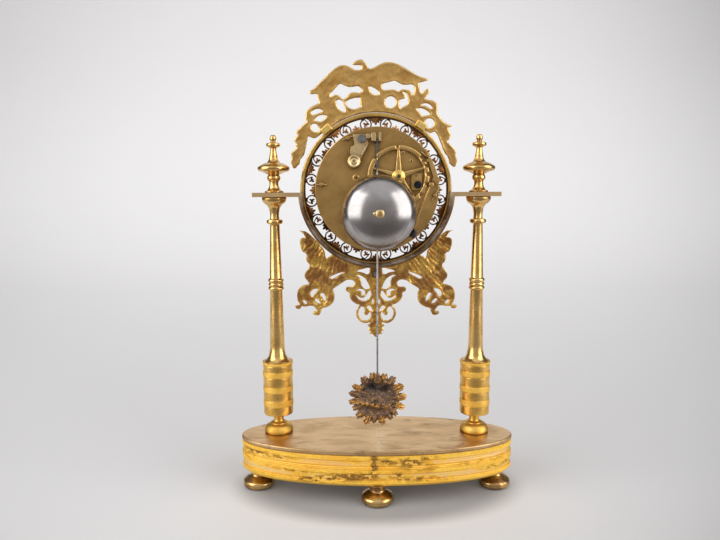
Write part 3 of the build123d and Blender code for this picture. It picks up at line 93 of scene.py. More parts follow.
# ------------------------------------------------------------------ noise and curves
def value_noise(x, y, seed=0):
    """Smooth noise from 0 to 1 on a unit lattice."""
    x, y = np.asarray(x, float), np.asarray(y, float)
    cell_x, cell_y = np.floor(x).astype(np.int64), np.floor(y).astype(np.int64)
    x, y = x - cell_x, y - cell_y
    ease_x, ease_y = x * x * (3 - 2 * x), y * y * (3 - 2 * y)

    def corner(i, j):
        mixed = (i * 374761393 + j * 668265263 + seed * 1442695041) & 0xFFFFFFFF
        mixed = ((mixed ^ (mixed >> 13)) * 1274126177) & 0xFFFFFFFF
        return ((mixed ^ (mixed >> 16)) & 0xFFFF) / 65535.0

    return (corner(cell_x, cell_y) * (1 - ease_x) * (1 - ease_y)
            + corner(cell_x + 1, cell_y) * ease_x * (1 - ease_y)
            + corner(cell_x, cell_y + 1) * (1 - ease_x) * ease_y
            + corner(cell_x + 1, cell_y + 1) * ease_x * ease_y)


def fbm(x, y, seed=0, octaves=3):
    """Layered noise from -1 to 1."""
    total, weight, weights = 0.0, 1.0, 0.0
    for k in range(octaves):
        total = total + weight * value_noise(x * 2 ** k + 17.3 * k, y * 2 ** k - 9.1 * k, seed + k)
        weights += weight
        weight *= 0.5
    return total / weights * 2 - 1


def smoothstep(x, low, high):
    x = np.clip((np.asarray(x, float) - low) / (high - low), 0, 1)
    return x * x * (3 - 2 * x)


def zigzag(x):
    """A triangle wave from 0 to 1 with period 1."""
    x = x - np.floor(x)
    return 1 - np.abs(2 * x - 1)


def crossed(along, slant):
    """Diamond knurl from two sets of slanting ridges."""
    return zigzag(along + slant) * zigzag(along - slant)


def ripple(angle, count):
    return zigzag(angle * count / TAU) - 0.5


def mound(x, z, centre_x, centre_z, radius_x, radius_z):
    return np.exp(-(((x - centre_x) / radius_x) ** 2 + ((z - centre_z) / radius_z) ** 2))


def polar(radius, degrees, centre=DIAL):
    angle = math.radians(degrees)
    return (centre[0] + radius * math.cos(angle), centre[1] + radius * math.sin(angle))


def arc(first, middle, last, steps):
    """Points on the circle through three points."""
    (ax, ay), (bx, by), (cx, cy) = first, middle, last
    twice = 2 * (ax * (by - cy) + bx * (cy - ay) + cx * (ay - by))
    if abs(twice) < 1e-9:
        return [first, last]
    sq_a, sq_b, sq_c = ax * ax + ay * ay, bx * bx + by * by, cx * cx + cy * cy
    mid_x = (sq_a * (by - cy) + sq_b * (cy - ay) + sq_c * (ay - by)) / twice
    mid_y = (sq_a * (cx - bx) + sq_b * (ax - cx) + sq_c * (bx - ax)) / twice
    radius = math.hypot(ax - mid_x, ay - mid_y)
    start, via, end = (math.atan2(y - mid_y, x - mid_x) for x, y in (first, middle, last))
    span = (end - start) % TAU
    if (via - start) % TAU > span:
        span -= TAU
    return [(mid_x + radius * math.cos(start + span * k / steps),
             mid_y + radius * math.sin(start + span * k / steps)) for k in range(steps + 1)]


def soften(points, fillet=0.16, closed=False):
    """Cut every corner that turns more than 20 degrees by up to the fillet length."""
    points = [np.array(p, float) for p in points]
    out, count = [], len(points)
    for i in range(count):
        here = points[i]
        if not closed and i in (0, count - 1):
            out.append(here)
            continue
        back, ahead = points[i - 1] - here, points[(i + 1) % count] - here
        back_len, ahead_len = np.linalg.norm(back), np.linalg.norm(ahead)
        if back_len < 1e-6 or ahead_len < 1e-6:
            continue
        cosine = np.clip(-np.dot(back, ahead) / back_len / ahead_len, -1, 1)
        if math.degrees(math.acos(cosine)) < 20.0:
            out.append(here)
            continue
        cut = min(fillet, 0.42 * back_len, 0.42 * ahead_len)
        enter, leave = here + back / back_len * cut, here + ahead / ahead_len * cut
        out += [enter, 0.56 * here + 0.22 * (enter + leave), leave]
    return np.array(out)


def profile(start, segments, arc_steps=10, fillet=0.16, closed=False):
    """Softened path; a segment is the next point, or (point on the arc, next point)."""
    points, here = [start], start
    for segment in segments:
        if isinstance(segment[0], tuple):
            points += arc(here, *segment, arc_steps)[1:]
            here = segment[1]
        else:
            points.append(segment)
            here = segment
    return soften(points, fillet, closed)


def catmull_rom(points, steps):
    out = []
    for before, start, end, after in zip(points, points[1:], points[2:], points[3:]):
        for j in range(steps):
            f = j / steps
            out.append(0.5 * ((2 * start) + (end - before) * f
                              + (2 * before - 5 * start + 4 * end - after) * f * f
                              + (3 * start - before - 3 * end + after) * f ** 3))
    return out


def smooth_loop(points, steps=4):
    points = np.array(points, float)
    return np.array(catmull_rom(np.vstack([points[-1:], points, points[:2]]), steps))


def smooth_open(points, steps=6):
    points = np.array(points, float)
    first, last = 2 * points[0] - points[1], 2 * points[-1] - points[-2]
    return np.array(catmull_rom(np.vstack([first, points, last]), steps) + [points[-1]])


def mirrored(half, signs):
    """Half an outline, then the same points backwards with the signs applied."""
    half = np.array(half)
    return np.vstack([half, half[-2::-1] * np.array(signs)])


def ellipse_loop(x, z, radius, count=40):
    angle = np.arange(count) * TAU / count
    return np.stack([x + radius * np.cos(angle), z + radius * np.sin(angle)], 1)


def refine(loop, step):
    """Split the sides of a closed loop to about the step, dropping crowded points."""
    starts = np.asarray(loop, float)
    out = []
    for start, end in zip(starts, np.roll(starts, -1, 0)):
        count = max(1, int(math.ceil(np.linalg.norm(end - start) / step)))
        for k in range(count):
            out.append(start + (end - start) * k / count)
    out = np.array(out)
    keep = [0]
    for i in range(1, len(out)):
        if np.linalg.norm(out[i] - out[keep[-1]]) > step * 0.35:
            keep.append(i)
    return out[keep]


# ------------------------------------------------------------------ mesh building
MATERIALS = {}


class Shell:
    """The points (mm) and faces of one mesh, with its cav (hollow) values and its
    stain_and_painted_light values (stains, painted shade, painted reflection).
    """

    def __init__(self):
        self.points, self.faces, self.count = [], [], 0
        self.values = {"cav": [], "stain_and_painted_light": []}

    def add(self, points, faces, cav=None, stain_and_painted_light=None):
        points = np.asarray(points, float).reshape(-1, 3)
        self.points.append(points)
        self.faces += [tuple(int(i) + self.count for i in face) for face in faces]
        for key, value in (("cav", cav), ("stain_and_painted_light", stain_and_painted_light)):
            value = np.zeros(len(points)) if value is None else np.asarray(value, float).ravel()
            self.values[key].append(value)
        self.count += len(points)

    def make(self, name, material, slot, *nodes, body="case_and_frame", merge=True, sharp=None):
        """Build the object; sharp is the crease angle in degrees."""
        points = (np.vstack(self.points) + np.array([0.0, BASE_Y, 0.0])) * MM
        mesh = bpy.data.meshes.new(name)
        mesh.from_pydata(points.tolist(), [], self.faces)
        for key, values in self.values.items():
            layer = mesh.attributes.new(key, "FLOAT", "POINT")
            layer.data.foreach_set("value", np.concatenate(values).astype(np.float32))
        if merge:
            bm = bmesh.new()
            bm.from_mesh(mesh)
            bmesh.ops.remove_doubles(bm, verts=bm.verts, dist=1e-7)
            if any(face.calc_area() < 1e-14 for face in bm.faces):
                bmesh.ops.dissolve_degenerate(bm, edges=bm.edges, dist=1e-7)
            bmesh.ops.recalc_face_normals(bm, faces=bm.faces)
            bm.to_mesh(mesh)
            bm.free()
        mesh.polygons.foreach_set("use_smooth", [True] * len(mesh.polygons))
        if sharp is not None:
            mesh.set_sharp_from_angle(angle=math.radians(sharp))
        mesh.update()
        piece = bpy.data.objects.new(name, mesh)
        bpy.context.scene.collection.objects.link(piece)
        mesh.materials.append(MATERIALS[material])
        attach(piece, body)
        if nodes:
            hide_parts(*nodes)


def grid_faces(rows, cols, wrap_rows=False):
    """Quads between rings of points, each ring closed on itself."""
    faces = []
    for i in range(rows if wrap_rows else rows - 1):
        low, high = i * cols, ((i + 1) % rows) * cols
        for j in range(cols):
            k = (j + 1) % cols
            faces.append((low + j, low + k, high + k, high + j))
    return faces


def cap(start, count):
    return tuple(range(start, start + count))


def add_rings(shell, rings, cav=None, flip_caps=False):
    """A tube through equal rings of points, capped at both ends."""
    rings = np.asarray(rings, float)
    rows, cols = rings.shape[:2]
    caps = [cap(0, cols)[::-1], cap((rows - 1) * cols, cols)]
    if flip_caps:
        caps = [face[::-1] for face in caps]
    shell.add(rings, grid_faces(rows, cols) + caps, cav)


def lathe(shell, outline, axis, centre, count=96, closed=False, disp=None):
    """Turn (radius, height) points round an axis; centre is (x, y) for Z and (x, z) for Y."""
    outline = np.asarray(outline, float)
    angle = np.arange(count) * TAU / count
    radius = np.repeat(outline[:, :1], count, 1)
    height = np.repeat(outline[:, 1:2], count, 1)
    if disp is not None:
        radius = radius + disp(angle[None, :], height, radius) * (radius > 0.01)
    across, other = centre[0] + radius * np.cos(angle), centre[1] + radius * np.sin(angle)
    order = (across, other, height) if axis == "Z" else (across, height, other)
    shell.add(np.stack(order, -1), grid_faces(len(outline), count, closed))


def ribbon(shell, line, width, depth, y, count=10):
    """A strip with an oval section along an (x, z) line; width and depth are half sizes."""
    line = np.asarray(line, float)
    width = np.broadcast_to(np.asarray(width, float), (len(line),))[:, None]
    tangent = np.gradient(line, axis=0)
    tangent = tangent / (np.linalg.norm(tangent, axis=1)[:, None] + 1e-12)
    angle = np.arange(count) * TAU / count
    across = line[:, 0, None] - tangent[:, 1, None] * width * np.cos(angle)
    upward = line[:, 1, None] + tangent[:, 0, None] * width * np.cos(angle)
    level = np.broadcast_to(y + depth * np.sin(angle), across.shape)
    add_rings(shell, np.stack([across, level, upward], -1), flip_caps=True)


def sides(loop):
    loop = np.asarray(loop, float)
    return zip(loop, np.roll(loop, -1, 0))


def inside(loops, points):
    points = np.asarray(points, float)
    hit = np.zeros(len(points), bool)
    for loop in loops:
        for (x0, z0), (x1, z1) in sides(loop):
            if z0 == z1:
                continue
            crosses = (z0 > points[:, 1]) != (z1 > points[:, 1])
            hit ^= crosses & (points[:, 0] < (x1 - x0) * (points[:, 1] - z0) / (z1 - z0) + x0)
    return hit


def edge_distance(loops, points):
    points = np.asarray(points, float)
    best = np.full(len(points), 1e9)
    for loop in loops:
        for start, end in sides(loop):
            side = end - start
            square = side @ side
            if square < 1e-12:
                continue
            along = np.clip(((points - start) @ side) / square, 0, 1)
            gap = points - (start + along[:, None] * side)
            best = np.minimum(best, gap[:, 0] ** 2 + gap[:, 1] ** 2)
    return np.sqrt(best)


def relief(shell, loops, plus_y, minus_y, step, front, back, rim_drop=0.35):
    """A cast plate between minus_y and plus_y. loops[0] is the (x, z) outline, the rest are
    openings. front (-Y face) and back (+Y face) take the points and their distance from an
    edge, and say how far the face stands out; rim_drop lowers the rim of the +Y face."""
    loops = [refine(loop, step * 1.05) for loop in loops]
    points = [Vector(p) for loop in loops for p in loop]
    edges, start = [], 0
    for loop in loops:
        count = len(loop)
        edges += [(start + i, start + (i + 1) % count) for i in range(count)]
        start += count
    low, high = loops[0].min(0), loops[0].max(0)
    grid_x, grid_z = np.meshgrid(np.arange(low[0], high[0], step),
                                 np.arange(low[1], high[1], step * 0.866))
    grid_x = grid_x + (np.arange(grid_x.shape[0]) % 2)[:, None] * step / 2
    grid = np.stack([grid_x.ravel(), grid_z.ravel()], 1)
    grid = grid[inside(loops, grid)]
    grid = grid[edge_distance(loops, grid) > step * 0.62]
    points += [Vector(p) for p in grid]
    points, _, faces, _, _, _ = geometry.delaunay_2d_cdt(points, edges, [], 0, 1e-6, False)
    points = np.array([p[:] for p in points])
    tris = np.array([face for face in faces if len(face) == 3])
    tris = tris[inside(loops, points[tris].mean(1))]
    used = np.unique(tris)
    index = -np.ones(len(points), int)
    index[used] = np.arange(len(used))
    points, tris = points[used], index[tris]
    count = len(points)
    first = points[tris[:, 0]]
    to_second, to_third = points[tris[:, 1]] - first, points[tris[:, 2]] - first
    turn = to_second[:, 0] * to_third[:, 1] - to_second[:, 1] * to_third[:, 0]
    tris[turn < 0] = tris[turn < 0][:, ::-1]
    depth = edge_distance(loops, points)
    front_y = minus_y - front(points, depth)
    back_y = plus_y - rim_drop * (1 - smoothstep(depth, 0, 0.55)) + back(points, depth)
    verts = np.vstack([np.stack([points[:, 0], y, points[:, 1]], 1) for y in (front_y, back_y)])
    faces = [tuple(tri) for tri in tris] + [tuple(tri[::-1] + count) for tri in tris]
    border = {}
    for tri in tris:
        for i, j in ((tri[0], tri[1]), (tri[1], tri[2]), (tri[2], tri[0])):
            if (j, i) in border:
                del border[(j, i)]
            else:
                border[(i, j)] = True
    for i, j in border:
        faces.append((j, i, i + count, j + count))
    shell.add(verts, faces, np.tile(np.clip(1 - depth / 1.4, 0, 1), 2))


def rim_height(depth, height, width):
    return height * (1 - np.exp(-np.clip(depth, 0, None) / width))


def flat(points, depth):
    return 0 * depth


def plate_piece(shell, loops, minus_y, plus_y, radius=0.3, step=0.55):
    """A flat piece with filed, rounded edges on both faces."""
    def edge(points, depth):
        inset = 1 - np.clip(depth / radius, 0, 1)
        return -radius * (1 - np.sqrt(np.clip(1 - inset ** 2, 0, 1)))

    relief(shell, loops, plus_y, minus_y, step, edge, edge, 0.0)


# ------------------------------------------------------------------ materials
class Net:
    """A new material and shorthand for its nodes; colours are RGB, lengths mm."""

    def __init__(self, name):
        self.material = MATERIALS[name] = bpy.data.materials.new(name)
        self.material.use_nodes = True
        self.tree = self.material.node_tree
        self.tree.nodes.clear()
        output = self.add("ShaderNodeOutputMaterial")
        self.bsdf = self.add("ShaderNodeBsdfPrincipled")
        self.tree.links.new(self.bsdf.outputs[0], output.inputs[0])
        self.place = self.add("ShaderNodeTexCoord").outputs["Object"]

    def add(self, kind, **settings):
        node = self.tree.nodes.new(kind)
        for key, value in settings.items():
            setattr(node, key, value)
        return node

    def put(self, socket, value):
        if isinstance(value, bpy.types.NodeSocket):
            self.tree.links.new(value, socket)
        elif value is not None:
            socket.default_value = (*value, 1.0) if isinstance(value, tuple) else value

    def set(self, name, value):
        self.put(self.bsdf.inputs[name], value)

    def mm(self, stretch=(1, 1, 1), turn=(0, 0, 0)):
        """Object position in mm, scaled per axis and turned in degrees."""
        node = self.add("ShaderNodeMapping")
        self.put(node.inputs["Vector"], self.place)
        node.inputs["Scale"].default_value = [1000.0 * k for k in stretch]
        node.inputs["Rotation"].default_value = [math.radians(k) for k in turn]
        return node.outputs[0]

    def noise(self, vector, scale=1.0, detail=3.0, rough=0.5, warp=0.0, span=None):
        """Noise; span stretches the values between its two ends to 0..1."""
        node = self.add("ShaderNodeTexNoise")
        self.put(node.inputs["Vector"], vector)
        node.inputs["Scale"].default_value = scale
        node.inputs["Detail"].default_value = detail
        node.inputs["Roughness"].default_value = rough
        node.inputs["Distortion"].default_value = warp
        out = node.outputs["Fac"]
        return out if span is None else self.remap(out, span)

    def remap(self, value, span, to=(0.0, 1.0)):
        node = self.add("ShaderNodeMapRange")
        node.clamp = True
        node.interpolation_type = "SMOOTHSTEP"
        for key, item in zip(("Value", "From Min", "From Max", "To Min", "To Max"),
                             (value, *span, *to)):
            self.put(node.inputs[key], item)
        return node.outputs[0]

    def math(self, operation, first, second=None, clamp=False):
        node = self.add("ShaderNodeMath", operation=operation)
        node.use_clamp = clamp
        self.put(node.inputs[0], first)
        self.put(node.inputs[1], second)
        return node.outputs[0]

    def mul(self, first, second, clamp=False):
        return self.math("MULTIPLY", first, second, clamp)

    def plus(self, first, second):
        return self.math("ADD", first, second)

    def minus(self, first, second):
        return self.math("SUBTRACT", first, second)

    def swing(self, noise, amount):
        """A 0..1 noise as a variation about zero."""
        return self.mul(self.minus(noise, 0.5), amount)

    def mix(self, factor, first, second):
        node = self.add("ShaderNodeMix", data_type="RGBA")
        self.put(node.inputs[0], factor)
        self.put(node.inputs[6], first)
        self.put(node.inputs[7], second)
        return node.outputs[2]

    def split(self, vector):
        node = self.add("ShaderNodeSeparateXYZ")
        self.put(node.inputs[0], vector)
        return node.outputs

    def attr(self, name):
        return self.add("ShaderNodeAttribute", attribute_name=name).outputs["Fac"]

    def bevel(self, radius):
        node = self.add("ShaderNodeBevel", samples=4)
        node.inputs["Radius"].default_value = radius * MM
        return node.outputs[0]

    def edge(self, bevel):
        """Mask of the arrises: where the bevelled normal leaves the true one."""
        normal = self.add("ShaderNodeNewGeometry").outputs["Normal"]
        dot = self.add("ShaderNodeVectorMath", operation="DOT_PRODUCT")
        self.put(dot.inputs[0], bevel)
        self.put(dot.inputs[1], normal)
        return self.remap(self.minus(1.0, dot.outputs["Value"]), span=(0.02, 0.25))

    def bump(self, height, depth, normal=None):
        node = self.add("ShaderNodeBump")
        node.inputs["Strength"].default_value = 1.0
        node.inputs["Distance"].default_value = depth * MM
        self.put(node.inputs["Height"], height)
        self.put(node.inputs["Normal"], normal)
        return node.outputs[0]


# Arguments of metal(); noise scales are per mm, depths in mm
#   colors   main, deeper                   patina   colour, amount, scale, noise low, noise high
#   rough    mean, variation                brush    stretch xyz, scale, bump depth
#   grain    bump depth, scale              edge     bevel radius, colour of the painted highlight on the arrises, amount
#   cavity   amount, colour (by cav)        shade    amount, reach of the ambient occlusion that darkens the colour (painted shade)
#   mottle   scale of the large blotches, pulled by stretch
#   stain_and_painted_light  amount of brown by that attribute (stains, painted shade)   pale  colour where it is below zero (pale wash on the drum, painted reflection on the plate)
#   scratch  bump depth                     upper    z from, z to, colour above
def metal(name, colors, rough, brush, patina=None, grain=None, edge=None, cavity=None,
          mottle=0.12, stretch=(1, 1, 1), scratch=0.0, shade=None, stain_and_painted_light=0.0, pale=None,
          upper=None):
    n = Net(name)
    main, deep = colors
    mean, vary = rough
    brush_stretch, brush_scale, brush_depth = brush
    big = n.noise(n.mm(stretch), scale=mottle, detail=4.0, rough=0.55, warp=0.3)
    color = n.mix(n.remap(big, span=(0.35, 0.68)), main, deep)
    fine = n.noise(n.mm(brush_stretch), scale=brush_scale, rough=0.6)
    color = n.mix(n.mul(n.remap(fine, span=(0.40, 0.75)), 0.22), color, deep)
    roughness = n.plus(mean, n.swing(big, vary * 1.6))
    roughness = n.plus(roughness, n.swing(fine, vary))
    normal = None
    if edge:
        radius, tint, amount = edge
        normal = n.bevel(radius)
        # painted highlight: the arrises found by the bevel are tinted lighter
        color = n.mix(n.mul(n.edge(normal), amount), color, tint)
    if patina:
        tint, amount, scale, low, high = patina
        blot = n.noise(n.mm(stretch), scale=scale, detail=6.0, rough=0.62, warp=0.8,
                       span=(low, high))
        blot = n.mul(blot, amount)
        color = n.mix(blot, color, tint)
        roughness = n.plus(roughness, n.mul(blot, 0.25))
    if cavity:
        amount, tint = cavity
        cloud = n.mul(n.attr("cav"), n.noise(n.mm(), scale=0.5, detail=4.0, rough=0.6,
                                             span=(0.25, 0.6)))
        mask = n.mul(cloud, amount)
        color = n.mix(mask, color, tint)
        roughness = n.plus(roughness, n.mul(mask, 0.15))
    if upper:
        low, high, tint = upper
        level = n.mul(n.split(n.place)[2], 1000.0)
        level = n.plus(level, n.swing(big, 0.5 * abs(high - low)))
        color = n.mix(n.remap(level, span=(low, high)), color, tint)
    if pale:
        # where the attribute is below zero: a pale wash on the drum of the base, and a painted
        # reflection streak on the base plate
        mask = n.mul(n.attr("stain_and_painted_light"), -1.0, clamp=True)
        mask = n.mul(mask, n.noise(n.mm((0.35, 0.35, 1.6)), detail=4.0, rough=0.6,
                                   span=(0.25, 0.60)), clamp=True)
        color = n.mix(mask, color, pale)
    if stain_and_painted_light > 0:
        # brown where the attribute is above zero: stains, and painted shade on the underside and ends
        # of the drum and on the rim and ends of the base plate
        cloud = n.mul(n.attr("stain_and_painted_light"), n.noise(n.mm(), scale=0.9, detail=5.0, rough=0.65,
                                               warp=0.4, span=(0.26, 0.52)))
        mask = n.math("MAXIMUM", n.mul(cloud, stain_and_painted_light, clamp=True), 0.0)
        color = n.mix(n.mul(mask, 0.85), color, (0.22, 0.095, 0.045))
        roughness = n.plus(roughness, n.mul(mask, 0.25))
    if shade:
        amount, reach = shade
        # painted shade: the colour darkens where ambient occlusion finds nearby surfaces
        occlusion = n.add("ShaderNodeAmbientOcclusion", samples=6)
        occlusion.inputs["Distance"].default_value = reach * MM
        mask = n.mul(n.remap(occlusion.outputs["AO"], span=(0.45, 1.0), to=(1.0, 0.0)), amount)
        color = n.mix(mask, color, (0.12, 0.06, 0.02))
    normal = n.bump(fine, brush_depth, normal)
    if grain:
        depth, scale = grain
        normal = n.bump(n.noise(n.mm(), scale=scale, detail=4.0, rough=0.6), depth, normal)
    if scratch > 0:
        lines = [n.noise(n.mm(pull, turn=(0, turn, 0)), detail=2.0, span=(low, 0.70))
                 for pull, turn, low in (((0.08, 2.2, 2.2), 28, 0.62),
                                         ((2.2, 2.2, 0.07), 14, 0.63))]
        normal = n.bump(n.plus(*lines), scratch, normal)
    n.set("Base Color", color)
    n.set("Metallic", 1.0)
    n.set("Roughness", n.math("MAXIMUM", roughness, 0.05, clamp=True))
    n.set("Normal", normal)


BROWN = (0.085, 0.035, 0.012)
EVEN = (1, 1, 1)

metal("chased_gilt", colors=((1.0, 0.69, 0.11), (0.96, 0.60, 0.08)), rough=(0.58, 0.10),
      patina=((0.42, 0.19, 0.05), 0.5, 0.055, 0.60, 0.74), brush=((0.12, 0.12, 2.5), 1.0, 0.012),
      grain=(0.012, 3.0), mottle=0.06, stretch=(1, 1, 3), cavity=(0.42, (0.46, 0.22, 0.04)),
      stain_and_painted_light=1.0, pale=(0.80, 0.57, 0.29))
metal("worn_gilt", colors=((0.90, 0.60, 0.16), (0.74, 0.47, 0.12)), rough=(0.37, 0.16),
      patina=((0.26, 0.12, 0.04), 0.7, 0.05, 0.58, 0.72), brush=((0.10, 0.10, 2.2), 1.0, 0.02),
      grain=(0.02, 1.6), mottle=0.08, stretch=(1, 1, 2), cavity=(0.4, (0.42, 0.22, 0.05)),
      stain_and_painted_light=1.0)
metal("satin_gilt", colors=((0.75, 0.51, 0.26), (0.60, 0.385, 0.175)), rough=(0.33, 0.12),
      patina=((0.34, 0.22, 0.13), 0.7, 0.06, 0.52, 0.74), brush=((0.05, 2.6, 1), 1.0, 0.008),
      grain=(0.006, 2.0), edge=(0.25, (0.95, 0.66, 0.24), 0.6), mottle=0.035,
      stretch=(1, 2.5, 1), scratch=0.006, stain_and_painted_light=0.8, pale=(0.86, 0.66, 0.42))
metal("burnished_gilt", colors=((0.86, 0.58, 0.22), (0.66, 0.39, 0.12)), rough=(0.235, 0.14),
      patina=((0.30, 0.14, 0.05), 0.55, 0.16, 0.54, 0.74), brush=((0.35, 0.35, 3.0), 1.4, 0.012),
      grain=(0.010, 2.0), edge=(0.15, (0.98, 0.72, 0.32), 0.5), shade=(0.5, 3.0))
metal("ring_chased", colors=((0.95, 0.60, 0.13), (0.84, 0.49, 0.09)), rough=(0.45, 0.12),
      patina=((0.38, 0.17, 0.05), 0.5, 0.055, 0.60, 0.74), brush=((0.12, 0.12, 2.5), 1.0, 0.012),
      grain=(0.012, 3.0), mottle=0.08)
metal("drum_core", colors=((0.90, 0.56, 0.15), (0.70, 0.40, 0.085)), rough=(0.31, 0.12),
      patina=((0.26, 0.11, 0.04), 0.6, 0.14, 0.52, 0.72), brush=((0.12, 0.12, 4.0), 1.2, 0.010),
      grain=(0.010, 2.0), shade=(0.5, 1.5))
metal("foot_gilt", colors=((0.84, 0.52, 0.12), (0.66, 0.38, 0.07)), rough=(0.43, 0.14),
      patina=((0.16, 0.07, 0.025), 0.7, 0.14, 0.58, 0.72), brush=((0.2, 0.2, 3.0), 1.0, 0.006),
      grain=(0.006, 2.0), shade=(0.5, 2.5))
metal("bun_gilt", colors=((0.70, 0.47, 0.19), (0.50, 0.31, 0.11)), rough=(0.22, 0.14),
      patina=((0.20, 0.09, 0.05), 0.75, 0.12, 0.48, 0.66), brush=((0.3, 0.3, 3.0), 1.2, 0.012),
      grain=(0.014, 1.3), shade=(0.55, 3.0))
metal("ring_gilt", colors=((0.90, 0.60, 0.20), (0.70, 0.42, 0.11)), rough=(0.24, 0.10),
      patina=((0.22, 0.09, 0.03), 0.6, 0.10, 0.56, 0.72), brush=(EVEN, 1.0, 0.006),
      grain=(0.008, 1.5), mottle=0.10, shade=(0.4, 3.0))
metal("dark_gilt", colors=((0.40, 0.225, 0.095), (0.22, 0.115, 0.045)), rough=(0.33, 0.12),
      patina=(BROWN, 0.5, 0.16, 0.50, 0.72), brush=((0.4, 0.4, 0.4), 2.0, 0.01),
      grain=(0.01, 1.2), edge=(0.30, (0.80, 0.55, 0.25), 0.6), mottle=0.14, shade=(0.3, 4.0),
      upper=(212.0, 224.0, (0.74, 0.51, 0.26)))
metal("ormolu", colors=((0.84, 0.52, 0.175), (0.60, 0.33, 0.09)), rough=(0.33, 0.18),
      patina=((0.27, 0.12, 0.045), 0.55, 0.09, 0.52, 0.72), brush=((1.5, 0.5, 0.30), 1.0, 0.10),
      grain=(0.16, 0.42), mottle=0.08, cavity=(0.6, (1.0, 0.74, 0.28)))
metal("crumpled", colors=((1.0, 0.65, 0.17), (0.78, 0.41, 0.085)), rough=(0.27, 0.22),
      patina=((0.32, 0.14, 0.05), 0.92, 0.085, 0.41, 0.59), brush=((1.0, 0.5, 1.0), 0.8, 0.20),
      grain=(0.45, 0.32), mottle=0.20, cavity=(0.45, (1.0, 0.72, 0.24)))
metal("lug_gilt", colors=((1.0, 0.72, 0.24), (0.90, 0.58, 0.15)), rough=(0.36, 0.12),
      patina=((0.34, 0.17, 0.06), 0.5, 0.2, 0.56, 0.72), brush=(EVEN, 1.0, 0.02),
      grain=(0.05, 0.8), edge=(0.35, (1.0, 0.82, 0.45), 0.6), mottle=0.2)
metal("movement_brass", colors=((0.66, 0.405, 0.145), (0.46, 0.27, 0.088)), rough=(0.30, 0.12),
      patina=((0.26, 0.13, 0.045), 0.5, 0.07, 0.52, 0.78), brush=((2.6, 1, 0.05), 1.0, 0.004),
      grain=(0.004, 2.0), edge=(0.18, (0.92, 0.72, 0.36), 0.7), mottle=0.05, shade=(0.75, 5.0))
# painted highlight: wheel_brass_lit and cock_brass_lit are paler copies of the movement brass,
# standing for these parts' brighter reflection against the plate
metal("wheel_brass_lit", colors=((0.72, 0.46, 0.17), (0.54, 0.33, 0.11)), rough=(0.33, 0.10),
      patina=((0.26, 0.15, 0.06), 0.45, 0.12, 0.55, 0.8), brush=((2.0, 1, 2.0), 1.0, 0.005),
      grain=(0.006, 2.0), edge=(0.25, (1.0, 0.80, 0.44), 0.40), mottle=0.10, shade=(0.6, 3.0))
metal("cock_brass_lit", colors=((0.86, 0.65, 0.34), (0.64, 0.45, 0.21)), rough=(0.36, 0.12),
      patina=((0.30, 0.19, 0.08), 0.5, 0.14, 0.54, 0.78), brush=((0.6, 1, 2.4), 1.0, 0.006),
      grain=(0.008, 2.0), edge=(0.30, (1.0, 0.88, 0.58), 0.75), mottle=0.08, shade=(0.55, 3.0))
metal("steel", colors=((0.40, 0.395, 0.39), (0.20, 0.195, 0.19)), rough=(0.26, 0.12),
      patina=((0.11, 0.07, 0.05), 0.4, 0.3, 0.6, 0.75), brush=((0.4, 0.4, 4), 1.0, 0.004),
      grain=(0.004, 2.0), edge=(0.10, (0.7, 0.7, 0.7), 0.6), mottle=0.3)
metal("dark_steel", colors=((0.14, 0.125, 0.12), (0.08, 0.07, 0.065)), rough=(0.34, 0.12),
      patina=((0.06, 0.035, 0.025), 0.4, 0.3, 0.6, 0.75), brush=((0.4, 0.4, 4), 1.0, 0.004),
      grain=(0.004, 2.0), edge=(0.10, (0.4, 0.38, 0.36), 0.6), mottle=0.3)
metal("blued_steel", colors=((0.05, 0.05, 0.075), (0.025, 0.025, 0.035)), rough=(0.20, 0.08),
      brush=((0.4, 0.4, 4), 1.0, 0.003), grain=(0.003, 2.0),
      edge=(0.10, (0.30, 0.30, 0.36), 0.5), mottle=0.3)
metal("bell_metal", colors=((0.44, 0.42, 0.415), (0.34, 0.315, 0.305)), rough=(0.235, 0.10),
      patina=((0.20, 0.16, 0.14), 0.6, 0.08, 0.58, 0.80), brush=(EVEN, 0.25, 0.0),
      edge=(0.12, (0.70, 0.68, 0.65), 0.5), mottle=0.06)
metal("gallery", colors=((0.22, 0.13, 0.065), (0.10, 0.06, 0.035)), rough=(0.34, 0.12),
      patina=(BROWN, 0.55, 0.30, 0.45, 0.65), brush=(EVEN, 2.0, 0.012), grain=(0.01, 1.6),
      mottle=0.25)
metal("copper_leaf", colors=((0.56, 0.255, 0.085), (0.20, 0.085, 0.035)), rough=(0.34, 0.12),
      patina=(BROWN, 0.7, 0.16, 0.44, 0.60), brush=(EVEN, 2.0, 0.03), grain=(0.05, 1.2),
      mottle=0.16)


def enamel():
    n = Net("enamel")
    big = n.noise(n.mm(), scale=0.06)
    n.set("Base Color", n.mix(big, (0.88, 0.86, 0.80), (0.80, 0.77, 0.69)))
    n.set("Roughness", n.remap(n.noise(n.mm(), scale=0.4), span=(0.3, 0.8), to=(0.10, 0.22)))
    n.set("Coat Weight", 0.6)
    waves = n.noise(n.mm(), scale=0.18, detail=2.0)
    n.set("Normal", n.bump(waves, depth=0.03, normal=n.bevel(0.2)))


def black_enamel():
    n = Net("black_enamel")
    n.set("Base Color", n.mix(n.noise(n.mm(), scale=1.5), (0.012, 0.012, 0.016),
                              (0.03, 0.028, 0.03)))
    n.set("Roughness", n.remap(n.noise(n.mm(), scale=2.0, detail=2.0), span=(0.3, 0.8),
                               to=(0.22, 0.4)))
    n.set("Normal", n.bump(n.noise(n.mm(), scale=2.5, detail=2.0), depth=0.01))


